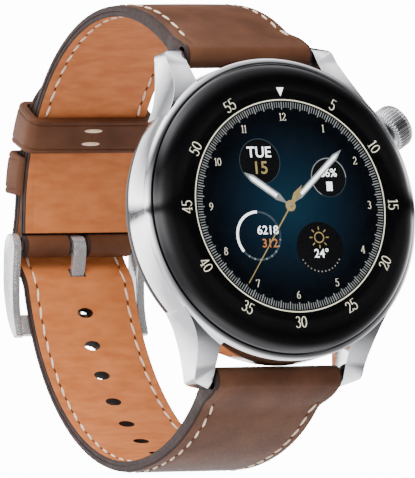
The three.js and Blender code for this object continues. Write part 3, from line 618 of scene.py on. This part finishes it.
def rear():
    cover = solid("rear_shell", turned([
        (WINDOW_RADIUS + 0.1, COVER_BACK), (20.4, COVER_BACK), (21.6, COVER_BACK - 0.3),
        (22.3, COVER_BACK - 1.0), (COVER_RADIUS, COVER_BACK - 1.9), (COVER_RADIUS, CASE_BACK + 0.1),
        (16.9, CASE_BACK + 0.1), (16.9, COVER_BACK - 1), (WINDOW_RADIUS + 0.1, COVER_BACK - 1),
    ]), [CERAMIC])
    wells = []
    for degrees in (45, 135, 225, 315):
        angle = radians(degrees)
        rows = []
        for level in (COVER_BACK - 0.9, 1.0):
            rows.append([(SCREW_CIRCLE * cos(angle) + SCREW_WELL_RADIUS * cos(turn * pi / 16), level,
                          SCREW_CIRCLE * sin(angle) + SCREW_WELL_RADIUS * sin(turn * pi / 16))
                         for turn in range(32)])
        wells.append(tube(rows))
    combine(cover, solid("cutter", join(wells), [CERAMIC]), "DIFFERENCE")
    soften(cover, 0.08, 3)
    declare(cover, "watch", "rear_ceramic", "rear_cover")
    window = solid("rear_window", turned([
        (0, 0), (5, 0), (6.5, 0), (7.2, -0.04), (7.9, -0.15), (8.4, -0.28), (8.8, -0.45), (9.1, -0.62),
        (WINDOW_RADIUS, -0.85), (WINDOW_RADIUS, -1.8), (8.4, -1.8), (7.8, -1.1), (0, -1.1),
    ]), [WINDOW_GLASS])
    declare(window, "watch", "glass", "sensor_window")


def crown():
    profile = [
        (0, CROWN_START), (CROWN_RADIUS - 0.75, CROWN_START), (CROWN_RADIUS - 0.45, CROWN_START + 0.1),
        (CROWN_RADIUS - 0.15, CROWN_START + 0.35), (CROWN_RADIUS, CROWN_START + 0.6),
        (CROWN_RADIUS, 25.4), (CROWN_RADIUS, CROWN_END - 0.85), (CROWN_RADIUS - 0.12, CROWN_END - 0.62),
        (CROWN_RADIUS - 0.2, CROWN_END - 0.5), (CROWN_RADIUS - 0.24, CROWN_END - 0.3),
        (CROWN_RADIUS - 0.45, CROWN_END - 0.1), (CROWN_RADIUS - 0.8, CROWN_END), (1.4, CROWN_END + 0.02),
        (0, CROWN_END + 0.03),
    ]
    depths = [0, 0, 0.08, 0.34, 0.5, 0.5, 0.5, 0.34, 0.06, 0, 0, 0, 0, 0]

    def ripple(index, angle):
        return depths[index] * (0.5 + 0.5 * cos(CROWN_TEETH * angle)) ** 3

    verts, faces = turned_along_x(profile, segments=CROWN_TEETH * 12, ripple=ripple)
    # Faces deep in the grooves get the near-black steel: painted shade in the crown's grooves.
    tags = []
    for face in faces:
        middle = sum((Vector(verts[i]) for i in face), Vector()) / len(face)
        depth = CROWN_RADIUS - hypot(middle.y - SIDE_AXIS_Y, middle.z)
        tags.append(1 if 0.12 < depth < 0.6 and CROWN_START + 0.4 < middle.x < CROWN_END - 0.6 else 0)
    made = solid("crown_grip", (on_flank(verts, CROWN_ANGLE), faces), [STEEL, GROOVE_PAINTED_SHADE], tags, angle=60)
    declare(made, "crown", "polished_steel", "crown_cap")


def side_button():
    rows = []
    for inset, depth in ((0.0, None), (0.0, 0.22), (0.06, 0.08), (0.2, 0.0), (0.6, -0.02)):
        outline = oval_button(BUTTON_LENGTH - 2 * inset, BUTTON_WIDTH - 2 * inset)
        row = []
        for y, z in outline:
            x = 22.15 if depth is None else sqrt(BUTTON_FACE ** 2 - z * z) - depth
            row.append((x, y, z))
        rows.append(row)
    verts, faces = tube(rows)
    made = solid("side_button_cap", (on_flank(verts, BUTTON_ANGLE), faces), [STEEL])
    declare(made, "side_button_body", "polished_steel", "side_button")


# ---- strap


def oval_cutter(along):
    angles = [2 * pi * step / 28 for step in range(28)]
    oval = [(HOLE_WIDTH / 2 * cos(angle), along + HOLE_LENGTH / 2 * sin(angle)) for angle in angles]
    return tube([on_loop([(x, lift, distance) for x, distance in oval]) for lift in (-2.5, 5.5)])


def tongue_lift(distance):
    return -TONGUE_DIP + TONGUE_RISE * smooth(distance / TONGUE_RISE_LENGTH)


def tongue_outline(grow):
    lower, upper = [], []
    for step in range(23):
        distance = step / 22 * TONGUE_LENGTH
        half = TONGUE_THICK / 2 + grow
        lower.append(loop_point(BUCKLE_AT + distance, tongue_lift(distance) - half))
        upper.append(loop_point(BUCKLE_AT + distance, tongue_lift(distance) + half))
    return lower + upper[::-1]


def hole_cutter():
    cutters = [oval_cutter(HOLE_FIRST + hole * HOLE_PITCH) for hole in range(1, HOLE_COUNT)]
    half = TONGUE_WIDTH / 2 + 0.3
    cutters.append(prism(tongue_outline(0.3), "x", -half, half))
    cutter = solid("cutter", join(cutters), [LEATHER, EDGE_PAINT])
    for face in cutter.data.polygons:
        face.material_index = 1
    return cutter


def straps():
    bar = loop_point(BUCKLE_AT, BUCKLE_LIFT)
    slot = TONGUE_WIDTH / 2 + 0.35
    low = lambda thick: LINING + 0.04
    top = lambda thick: thick
    end = BUCKLE_AT - 2.1
    lug_half, half = STRAP_WIDTH_LUG / 2, STRAP_WIDTH / 2
    upper = [
        strap_sweep(False, UPPER_BAR, end, outer_section, low, top),
        strap_sweep(False, end, BUCKLE_AT - 0.4, outer_section, low, top, to_x=-slot),
        strap_sweep(False, end, BUCKLE_AT - 0.4, outer_section, low, top, from_x=slot),
        rolled_end((BAR_Y, BAR_Z), WRAP_RADIUS, -lug_half, lug_half),
        rolled_end(bar, BUCKLE_WRAP_RADIUS, -half, -slot),
        rolled_end(bar, BUCKLE_WRAP_RADIUS, slot, half),
    ]
    made = painted_solid("upper_strap", upper, LEATHER)
    declare(made, "watch", "outer_leather", "upper_strap_outer")
    lining = (lining_section, lambda thick: 0, lambda thick: LINING)
    face = strap_sweep(False, UPPER_BAR + 1.6, BUCKLE_AT - 1.9, *lining)
    made = painted_solid("upper_lining", [face], LINING_FACE)
    declare(made, "watch", "lining_leather", "upper_strap_lining")
    lower = strap_sweep(True, TAIL_TIP, LOWER_BAR, outer_section, low, top)
    made = painted_solid("lower_strap", [lower], LEATHER)
    combine(made, hole_cutter(), "DIFFERENCE", 50)
    declare(made, "watch", "outer_leather", "lower_strap_outer")
    roll = rolled_end((BAR_Y, -BAR_Z), WRAP_RADIUS, -lug_half, lug_half)
    made = painted_solid("lower_strap_roll", [roll], LEATHER)
    declare(made, "watch", "outer_leather", "lower_strap_outer")
    face = strap_sweep(True, TAIL_TIP, LOWER_BAR - 1.6, *lining)
    made = painted_solid("lower_lining", [face], LINING_FACE)
    combine(made, hole_cutter(), "DIFFERENCE", 50)
    declare(made, "watch", "lining_leather", "lower_strap_lining")


def bead(ends, radius_x, radius_lift, rings=8, sides=10):
    """A plump stroke between two (x, lift, distance) ends."""
    a, b = Vector(ends[0]), Vector(ends[1])
    along = (b - a).normalized()
    aside = along.cross(Vector((0, 1, 0))).normalized()
    rows = []
    for i in range(rings + 1):
        t = i / rings
        swell = max(0.05, sin(pi * t) ** 0.45)
        centre = a.lerp(b, t)
        row = []
        for j in range(sides):
            turn = 2 * pi * j / sides
            point = centre + aside * (radius_x * swell * cos(turn))
            point.y += radius_lift * swell * sin(turn)
            row.append(tuple(point))
        rows.append(row)
    verts, faces = tube(rows)
    return on_loop(verts), faces


def stitch_row(is_tail, on_outer, side, start, end):
    """One saddle-stitched row: its threads, then the needle holes between them."""
    threads, holes = [], []
    bar = LOWER_BAR if is_tail else UPPER_BAR
    count = int((end - start) / STITCH_PITCH)

    def seat(along):
        half = half_width(along, is_tail)
        base = base_lift(along, is_tail)
        x = side * (half - STITCH_INSET)
        if on_outer:
            thick = thickness(along, bar)
            share = (half - STITCH_INSET) / half
            fall = crown_drop(along, bar) * share ** 2 + EDGE_FALL * share ** 6 + STITCH_GROOVE
            return x, base + thick - fall + 0.05
        return x, base + 0.1 - 0.05

    for index in range(count + 1):
        centre = start + index * STITCH_PITCH
        near, far = centre - STITCH_LENGTH / 2, centre + STITCH_LENGTH / 2
        slant = STITCH_SLANT * side
        (x0, lift0), (x1, lift1) = seat(near), seat(far)
        threads.append(bead(((x0 - slant, lift0, near), (x1 + slant, lift1, far)), THREAD_RADIUS, 0.2))
        x, lift = seat(centre + STITCH_PITCH / 2)
        gap = (STITCH_PITCH - STITCH_LENGTH) / 2 + 0.1
        middle = centre + STITCH_PITCH / 2
        holes.append(bead(((x, lift, middle - gap), (x, lift, middle + gap)), 0.17, 0.06, 4, 8))
    return threads, holes


def stitching():
    rows = {
        "upper_outer": (False, True, UPPER_BAR + STITCH_FROM_BAR, FREE_KEEPER_AT - 4),
        "upper_inner": (False, False, UPPER_BAR + STITCH_FROM_BAR, FREE_KEEPER_AT + 1),
        "lower_outer": (True, True, TAIL_TIP + 5, LOWER_BAR - STITCH_FROM_BAR),
        "lower_inner": (True, False, TAIL_TIP + 5, LOWER_BAR - STITCH_FROM_BAR),
    }
    for name, (is_tail, on_outer, start, end) in rows.items():
        near, far = (stitch_row(is_tail, on_outer, side, start, end) for side in (-1, 1))
        threads, holes = near[0] + far[0], near[1] + far[1]
        slot = "outer_leather" if on_outer else "lining_leather"
        declare(solid("thread_" + name, join(threads), [THREAD], angle=80), "watch", slot)
        declare(solid("needle_holes_" + name, join(holes), [DARK_HOLE], angle=80), "watch", slot)


# ---- keepers


def band_section():
    """(distance, height) round a leather band, with a crease near each edge of its outer face."""
    half, corner = KEEPER_WIDTH / 2, 0.36
    points = [(-half, 0.0)] + rounded_corner(-half, 1, corner, 1, -1, 4)
    for step in range(1, 36):
        d = mix(-half + corner, half - corner, step / 36)
        crease = 0.16 * exp(-((abs(d) - (half - 0.78)) / 0.13) ** 2)
        points.append((d, 1 - crease + 0.05 * (1 - (d / half) ** 2)))
    points += rounded_corner(half, 1, corner, -1, -1, 4)[::-1]
    return points + [(half, 0.0), (0.0, 0.0)]


def rounded_path(half, low, high, corner, closed):
    """((x, lift), (outward x, outward lift)) round a strap, from the middle of its wrist side."""
    path = []
    quarter = [(half - corner, low + corner, -90), (half - corner, high - corner, 0),
               (-half + corner, high - corner, 90), (-half + corner, low + corner, 180)]
    start = 0 if closed else 7.0
    for step in range(8):
        path.append(((mix(start, half - corner, step / 8), low), (0, -1)))
    for index, (x, lift, degrees) in enumerate(quarter):
        for step in range(9):
            angle = radians(degrees + 90 * step / 8)
            out = (cos(angle), sin(angle))
            path.append(((x + corner * out[0], lift + corner * out[1]), out))
        if index == 1:
            for step in range(1, 16):
                path.append(((mix(half - corner, -half + corner, step / 16), high), (0, 1)))
    for step in range(1, 8 if closed else 9):
        path.append(((mix(-half + corner, -start, step / 8), low), (0, -1)))
    return path


def keeper(name, at, half, low, high, corner, closed, body, node):
    section = band_section()
    rows = []
    for (x, lift), (out_x, out_lift) in rounded_path(half, low, high, corner, closed):
        thick = KEEPER_THICK if closed else mix(0.45, KEEPER_THICK, smooth((lift - low) / 1.2))
        rows.append(on_loop([(x + out_x * height * thick, lift + out_lift * height * thick, at + along)
                             for along, height in section]))
    verts, faces = tube(rows, closed)
    made = solid(name, (verts, faces), [LEATHER], angle=50)
    declare(made, body, "outer_leather", node)


def keepers():
    low, high = -0.25, 2 * STRAP_THICK + 0.4
    keeper("keeper_free", FREE_KEEPER_AT, STRAP_WIDTH / 2 + 0.4, low, high, 0.7, True,
           "free_keeper_body", "free_keeper")
    keeper("keeper_fixed", FIXED_KEEPER_AT, STRAP_WIDTH / 2 + 0.35, LINING + GAP + 0.45, high, 0.4, False,
           "watch", "fixed_keeper")
    face = low - KEEPER_THICK - 0.05
    threads = []
    for offset in (-1.15, 1.15):
        at = FREE_KEEPER_AT + offset
        threads.append(bead(((-1.6, face, at), (1.6, face, at)), 0.34, 0.26, 10))
    made = solid("thread_keeper", join(threads), [THREAD], angle=80)
    declare(made, "free_keeper_body", "outer_leather")
    seam = bead(((0.05, face + 0.02, FREE_KEEPER_AT - 0.95), (0.05, face + 0.02, FREE_KEEPER_AT + 0.95)),
                0.07, 0.06)
    made = solid("seam_keeper", seam, [DARK_HOLE], angle=80)
    declare(made, "free_keeper_body", "outer_leather")


# ---- buckle


def curve_through(points):
    """A closed smooth outline through (distance, lift) points."""
    count, outline = len(points), []
    for i in range(count):
        a, b, c, d = (points[(i + k) % count] for k in (-1, 0, 1, 2))
        for step in range(6):
            t = step / 6
            outline.append(tuple(
                0.5 * (2 * b[n] + (c[n] - a[n]) * t + (2 * a[n] - 5 * b[n] + 4 * c[n] - d[n]) * t * t
                       + (3 * b[n] - a[n] - 3 * c[n] + d[n]) * t ** 3) for n in (0, 1)))
    return outline


def loop_outline(points):
    return [loop_point(BUCKLE_AT + distance, lift) for distance, lift in points]


def buckle():
    end = BUCKLE_LENGTH
    arm = loop_outline(curve_through([
        (-1.9, 1.0), (-1.4, -0.1), (0, -0.6), (2.5, -0.1), (6, 0.9), (9.5, 1.8), (end - 0.8, 2.05),
        (end, 2.2), (end, 3.05), (end - 1.0, 3.5), (10, 3.95), (6, 3.9), (3, 3.3), (0, 2.7), (-1.3, 2.1),
    ]))
    front = loop_outline([(end - 3.2, 2.15), (end - 0.1, 2.1), (end - 0.1, 3.1), (end - 3.2, 3.15)])
    parts = [
        prism(arm, "x", -BUCKLE_OUTER, -BUCKLE_INNER),
        prism(arm, "x", BUCKLE_INNER, BUCKLE_OUTER),
        prism(front, "x", -BUCKLE_OUTER + 0.3, BUCKLE_OUTER - 0.3),
    ]
    made = solid("buckle_loop", join(parts), [BUCKLE_STEEL])
    soften(made, 0.3, 4)
    declare(made, "buckle_frame_body", "polished_steel", "buckle_frame")
    half = TONGUE_WIDTH / 2
    pivot = loop_point(BUCKLE_AT, BUCKLE_LIFT)
    made = solid("tongue", prism(tongue_outline(0), "x", -half, half), [BUCKLE_STEEL])
    eye = rod(TONGUE_EYE_RADIUS, half, pivot)
    combine(made, solid("cutter", eye, [BUCKLE_STEEL]), "UNION")
    bore = rod(BAR_BORE, half + 1, pivot)
    combine(made, solid("cutter", bore, [BUCKLE_STEEL]), "DIFFERENCE")
    soften(made, 0.14, 3)
    declare(made, "buckle_tongue_body", "polished_steel", "buckle_tongue")
    ends = BUCKLE_INNER + 0.9
    made = solid("bar", turned_along_x([
        (0, -ends), (BAR_RADIUS - 0.15, -ends), (BAR_RADIUS, -ends + 0.15), (BAR_RADIUS, 0),
        (BAR_RADIUS, ends - 0.15), (BAR_RADIUS - 0.15, ends), (0, ends),
    ], pivot), [SATIN])
    declare(made, "watch", "satin_steel", "buckle_bar")


# ---- dial graphics


def arc(x, z, half_width, half_height, start, end, steps=16):
    return [(x + half_width * cos(radians(mix(start, end, i / steps))),
             z + half_height * sin(radians(mix(start, end, i / steps)))) for i in range(steps + 1)]


# Each figure: its width and its pen strokes, in a box one unit high.
FIGURES = {
    "0": (0.60, [arc(0.30, 0.5, 0.22, 0.46, 0, 360, 28)]),
    "1": (0.40, [[(0.07, 0.82), (0.21, 0.95)], [(0.21, 0.96), (0.21, 0.04)], [(0.07, 0.03), (0.35, 0.03)]]),
    "2": (0.58, [arc(0.28, 0.70, 0.19, 0.26, 165, -35) + [(0.07, 0.05)], [(0.07, 0.05), (0.52, 0.05)],
                 [(0.52, 0.05), (0.54, 0.19)]]),
    "3": (0.56, [arc(0.26, 0.74, 0.17, 0.22, 150, -85), arc(0.26, 0.27, 0.21, 0.26, 88, -150)]),
    "4": (0.60, [[(0.41, 0.96), (0.05, 0.27)], [(0.05, 0.27), (0.56, 0.27)], [(0.41, 0.96), (0.41, 0.03)],
                 [(0.29, 0.03), (0.53, 0.03)]]),
    "5": (0.56, [[(0.14, 0.95), (0.48, 0.95)], [(0.14, 0.95), (0.12, 0.55)],
                 arc(0.26, 0.30, 0.22, 0.29, 125, -150)]),
    "6": (0.58, [arc(0.29, 0.29, 0.21, 0.26, 0, 360, 24), arc(0.56, 0.32, 0.48, 0.63, 104, 180)]),
    "7": (0.56, [[(0.05, 0.80), (0.07, 0.94)], [(0.07, 0.94), (0.52, 0.94)], [(0.52, 0.94), (0.20, 0.03)]]),
    "8": (0.58, [arc(0.29, 0.74, 0.16, 0.21, 0, 360, 24), arc(0.29, 0.27, 0.21, 0.25, 0, 360, 24)]),
    "9": (0.58, [arc(0.29, 0.69, 0.21, 0.26, 0, 360, 24), arc(0.02, 0.66, 0.48, 0.63, -76, 0)]),
}
PEN_THIN, PEN_THICK, PEN_OVERLAP = 0.022 / 1.3, 0.056 / 1.3, 0.012
LETTER_WEIGHT = 0.012


def pen_stroke(a, b):
    """The four corners of one straight stroke, which runs a little past both its ends."""
    run, rise = b[0] - a[0], b[1] - a[1]
    length = hypot(run, rise)
    run, rise = run / length, rise / length
    pen = mix(PEN_THIN, PEN_THICK, abs(rise))
    return [(point[0] - way * rise * pen + ahead * run * PEN_OVERLAP,
             point[1] + way * run * pen + ahead * rise * PEN_OVERLAP)
            for point, way, ahead in ((a, 1, -1), (b, 1, 1), (b, -1, 1), (a, -1, -1))]


class Ink:
    """Collects flat shapes drawn as (x, z) on the dial, all in one colour."""

    def __init__(self, name, finish, height):
        self.name, self.finish, self.height = name, finish, height
        self.shapes = []

    def polygon(self, points):
        verts = [(x, GLASS_FRONT - self.height, z) for x, z in points]
        self.shapes.append((verts, [tuple(range(len(points)))]))

    def ring(self, inner, outer, centre=(0, 0), start=0.0, end=360.0, steps=180):
        for i in range(steps):
            a, b = (radians(mix(start, end, (i + k) / steps)) for k in (0, 1))
            self.polygon([(centre[0] + r * sin(t), centre[1] + r * cos(t))
                          for r, t in ((inner, a), (outer, a), (outer, b), (inner, b))])

    def shape(self, degrees, points, centre=(0, 0)):
        """Points are (distance out, offset clockwise) along a hand."""
        angle = radians(degrees)
        along, across = (sin(angle), cos(angle)), (cos(angle), -sin(angle))
        self.polygon([(centre[0] + along[0] * r + across[0] * w, centre[1] + along[1] * r + across[1] * w)
                      for r, w in points])

    def bar(self, degrees, inner, outer, width, end_width=None, centre=(0, 0)):
        tip = width if end_width is None else end_width
        corners = [(inner, -width / 2), (outer, -tip / 2), (outer, tip / 2), (inner, width / 2)]
        self.shape(degrees, corners, centre)

    def text(self, words, size, centre):
        curve = bpy.data.curves.new("words", "FONT")
        curve.body, curve.size = words, size
        curve.align_x, curve.align_y = "CENTER", "CENTER"
        curve.resolution_u = 6
        curve.offset = LETTER_WEIGHT * size
        holder = bpy.data.objects.new("words", curve)
        mesh = bpy.data.meshes.new_from_object(holder)
        verts = [(centre[0] + vert.co.x, GLASS_FRONT - self.height, centre[1] + vert.co.y)
                 for vert in mesh.vertices]
        self.shapes.append((verts, [tuple(face.vertices) for face in mesh.polygons]))
        bpy.data.objects.remove(holder)
        bpy.data.curves.remove(curve)
        bpy.data.meshes.remove(mesh)

    def figures(self, words, size, centre, degrees=0.0):
        """Figures drawn with a broad pen: upright strokes are thick and level ones thin."""
        angle = radians(degrees)
        c, s = cos(angle), sin(angle)
        start = -sum(FIGURES[letter][0] for letter in words) / 2
        for letter in words:
            advance, strokes = FIGURES[letter]
            for a, b in (ends for stroke in strokes for ends in zip(stroke, stroke[1:])):
                corners = []
                for x, z in pen_stroke(a, b):
                    x, z = start + x, z - 0.5
                    corners.append((centre[0] + size * (x * c + z * s), centre[1] + size * (z * c - x * s)))
                self.polygon(corners)
            start += advance

    def done(self):
        verts, faces = join(self.shapes)
        mesh = bpy.data.meshes.new(self.name)
        mesh.from_pydata([Vector(v) * MM for v in verts], [], faces)
        mesh.materials.append(self.finish)
        made = bpy.data.objects.new(self.name, mesh)
        bpy.context.scene.collection.objects.link(made)
        declare(made, "watch", "display")


def at_angle(radius, degrees):
    return radius * sin(radians(degrees)), radius * cos(radians(degrees))


def dial():
    glow = Ink("dial_centre", DIAL_GLOW, 0.010)
    glow.polygon([at_angle(GLOW_RADIUS, 360 * i / 128) for i in range(128)])
    glow.done()
    track = Ink("dial_ring", CREAM_INK, 0.016)
    track.ring(16.12, 16.30, steps=256)
    cream = Ink("dial_numbers", CREAM_INK, 0.030)
    grey = Ink("dial_ticks", GREY_INK, 0.018)
    dim = Ink("dial_faint", DIM_INK, 0.016)
    white = Ink("dial_hands", WHITE_INK, 0.034)
    for tick in range(240):
        inner = 14.75 if tick % 4 == 0 else 15.0
        grey.bar(tick * 1.5, inner, 15.9, 0.17 if tick % 4 == 0 else 0.12)
    upright = {15: 90, 45: -90}
    for minute in range(5, 60, 5):
        degrees = minute * 6
        if 15 < minute < 45:
            turn = degrees - 180
        else:
            turn = upright.get(minute, degrees if degrees < 180 else degrees - 360)
        cream.figures(str(minute), 1.75, at_angle(17.75, degrees), turn)
    white.polygon([(-0.62, 18.1), (0.62, 18.1), (0, 16.75)])
    for hour in range(1, 13):
        cream.figures(str(hour), 1.2, at_angle(13.6, hour * 30))
    sub_displays(grey, dim, white)
    for ink in (track, cream, grey, dim, white):
        ink.done()
    hands()


def dots(ink, centre, radius, size, angles):
    for x, z in (at_angle(radius, degrees) for degrees in angles):
        ink.ring(0.0, size, (centre[0] + x, centre[1] + z), steps=10)


def sub_displays(grey, dim, white):
    black = Ink("dial_discs", BLACK_INK, 0.013)
    orange = Ink("dial_orange", ORANGE_INK, 0.030)
    gold = Ink("dial_gold", GOLD_INK, 0.030)
    for centre, radius in (((-4.6, 6.8), 3.5), ((7.0, 4.25), 3.0), ((4.4, -6.5), 4.0)):
        black.ring(0, radius, centre, steps=64)
    white.text("TUE", 2.3, (-4.6, 8.15))
    gold.text("15", 2.7, (-4.6, 5.75))
    dim.ring(3.4, 3.5, (-4.6, 6.8), steps=60)
    dim.ring(2.9, 3.0, (7.0, 4.25), steps=60)
    grey.ring(2.88, 3.02, (7.0, 4.25), -150, 90, 48)
    white.text("86%", 1.75, (7.0, 4.9))
    white.polygon([(6.5, 2.2), (7.5, 2.2), (7.5, 3.6), (6.5, 3.6)])
    black.polygon([(6.8, 3.65), (7.2, 3.65), (7.2, 3.85), (6.8, 3.85)])
    dim.ring(3.5, 3.8, (-5.9, -4.55), steps=70)
    white.ring(3.45, 3.85, (-5.9, -4.55), -130, 0, 40)
    dots(grey, (-5.9, -4.55), 3.65, 0.15, [100 + dot * 16 for dot in range(8)])
    white.text("6218", 1.85, (-4.3, -3.75))
    orange.text("312", 1.85, (-4.1, -5.75))
    dots(grey, (4.4, -6.5), 3.6, 0.12, [120 + dot * 10 for dot in range(13)])
    gold.ring(0.68, 0.86, (4.4, -4.9), steps=30)
    for ray in range(8):
        gold.bar(ray * 45, 1.15, 1.65, 0.18, centre=(4.4, -4.9))
    white.text("24\u00b0", 1.85, (4.6, -7.4))
    for ink in (black, orange, gold):
        ink.done()


def hands():
    rim = Ink("dial_hand_rims", GREY_INK, 0.040)
    fill = Ink("dial_hand_fills", WHITE_INK, 0.044)
    for degrees, length, width in ((-55.5, 9.1, 1.15), (48.4, 12.8, 1.0)):
        rim.shape(degrees, [(1.2, -0.18), (2.4, -width / 2), (length - 1.6, -width / 2), (length, 0),
                            (length - 1.6, width / 2), (2.4, width / 2), (1.2, 0.18)])
        rim.shape(degrees, [(0, -0.18), (1.3, -0.18), (1.3, 0.18), (0, 0.18)])
        fill.shape(degrees, [(2.7, -width / 4), (length - 1.8, -width / 4), (length - 0.9, 0),
                             (length - 1.8, width / 4), (2.7, width / 4)])
    second = Ink("dial_second_hand", GOLD_INK, 0.048)
    second.bar(215.4, 0, 14.4, 0.24, 0.12)
    second.shape(35.4, [(0.5, -0.22), (2.0, -0.55), (3.9, 0), (2.0, 0.55), (0.5, 0.22)])
    second.ring(0.28, 0.85, steps=40)
    for ink in (rim, fill, second):
        ink.done()


# ---- surroundings

CAMERA_AZIMUTH, CAMERA_ELEVATION, CAMERA_ROLL = -28.87, -8.31, 5.23
CAMERA_DISTANCE, VISIBLE_HEIGHT = 2000.0, 72.0
CAMERA_AIM = Vector((-10.91, -5.95, -3.78))


def camera():
    azimuth, elevation = radians(CAMERA_AZIMUTH), radians(CAMERA_ELEVATION)
    back = Vector((sin(azimuth) * cos(elevation), -cos(azimuth) * cos(elevation),
                   sin(elevation)))
    level = Vector((0, 0, 1)).cross(back).normalized()
    roll = radians(CAMERA_ROLL)
    up = back.cross(level) * cos(roll) + level * sin(roll)
    data = bpy.data.cameras.new("camera")
    data.sensor_fit = "AUTO"
    data.sensor_width = 36
    data.lens = 36 * CAMERA_DISTANCE / VISIBLE_HEIGHT
    data.clip_start, data.clip_end = 0.1, 50
    made = placed("camera", data)
    place = Matrix((up.cross(back), up, back)).transposed().to_4x4()
    place.translation = (CAMERA_AIM + back * CAMERA_DISTANCE) * MM
    made.matrix_world = place
    bpy.context.scene.camera = made


# Brightness of the studio's walls from straight down (0) to straight up (1), with one black band.
WALL_LEVELS = [
    (0.0, 2.2), (0.08, 2.6), (0.18, 1.0), (0.34, 1.3), (0.44, 3.2), (0.50, 4.2), (0.55, 4.2),
    (0.563, 0.01), (0.583, 0.01), (0.605, 5.0), (0.66, 2.6), (0.74, 0.4), (0.80, 0.9), (0.88, 3.4),
    (0.93, 4.4), (1.0, 2.0),
]
# Darker patches on the walls: a direction, then brightness against closeness to it.
DARK_PATCHES = [
    ((0.478, -0.867, 0.1445), [(0.10, 1.0), (0.55, 0.2), (0.85, 0.04)]),
    ((0.478, 0.543, 0.69), [(0.86, 1.0), (0.96, 0.03)]),
]


BACKGROUND_STRENGTH = 14.0
FLOOR_HALF, FLOOR_LEVEL = 6.0, -0.42
LIGHT_TARGET, LIGHT_DISTANCE = Vector((0, 0.02, 0)), 0.9


def darkened(tree, colour, place, direction, stops):
    """The wall's colour multiplied down round one direction."""
    facing = add(tree, "VectorMath")
    facing.operation = "DOT_PRODUCT"
    facing.inputs[1].default_value = Vector(direction).normalized()
    tree.links.new(place, facing.inputs[0])
    product = add(tree, "Mix", Factor=1.0)
    product.data_type, product.blend_type = "RGBA", "MULTIPLY"
    tree.links.new(colour, product.inputs[6])
    tree.links.new(ramp(tree, facing.outputs["Value"], stops), product.inputs[7])
    return product.outputs[2]


def world():
    made = bpy.data.worlds.new("studio")
    made.use_nodes = True
    bpy.context.scene.world = made
    tree = made.node_tree
    place = add(tree, "TexCoord").outputs["Generated"]
    parts = add(tree, "SeparateXYZ", Vector=place)
    height = add(tree, "MapRange", From_Min=-1, Value=parts.outputs["Z"])
    grey = lambda level: (level, level, level * 1.01, 1)
    walls = ramp(tree, height.outputs["Result"], [(at, grey(level)) for at, level in WALL_LEVELS])
    for direction, stops in DARK_PATCHES:
        walls = darkened(tree, walls, place, direction, [(at, grey(level)) for at, level in stops])
    wire(tree.nodes["Background"], Color=walls)
    plain = add(tree, "Background", Color=grey(1.0), Strength=BACKGROUND_STRENGTH)
    choice = add(tree, "MixShader", Fac=add(tree, "LightPath").outputs["Is Camera Ray"])
    tree.links.new(tree.nodes["Background"].outputs[0], choice.inputs[1])
    tree.links.new(plain.outputs[0], choice.inputs[2])
    wire(tree.nodes["World Output"], Surface=choice.outputs[0])


def area_light(name, direction, size, power):
    data = bpy.data.lights.new(name, "AREA")
    data.shape, data.size, data.energy = "DISK", size, power
    made = placed(name, data)
    made.location = Vector(direction).normalized() * LIGHT_DISTANCE + LIGHT_TARGET
    made.visible_glossy = False
    made.rotation_euler = (LIGHT_TARGET - made.location).to_track_quat("-Z", "Y").to_euler()


def floor():
    mesh = bpy.data.meshes.new("floor")
    square = (-1, -1), (1, -1), (1, 1), (-1, 1)
    corners = [(x * FLOOR_HALF, y * FLOOR_HALF, FLOOR_LEVEL) for x, y in square]
    mesh.from_pydata(corners, [], [(0, 1, 2, 3)])
    pale = surface("floor", (0.80, 0.80, 0.80, 1), (0.86, 0.86, 0.86, 1), 3, (0.6, 0.7), 40, 0.02)
    mesh.materials.append(pale)
    made = placed("floor", mesh)
    made.visible_glossy = False


case()
glass()
rear()
crown()
side_button()
straps()
stitching()
keepers()
buckle()
dial()
camera()
world()
floor()
area_light("key", (-0.5, -0.8, 0.9), 0.5, 9)
area_light("fill", (0.9, -0.3, 0.2), 0.6, 4)
area_light("back", (-0.7, 0.9, 0.3), 0.5, 5)
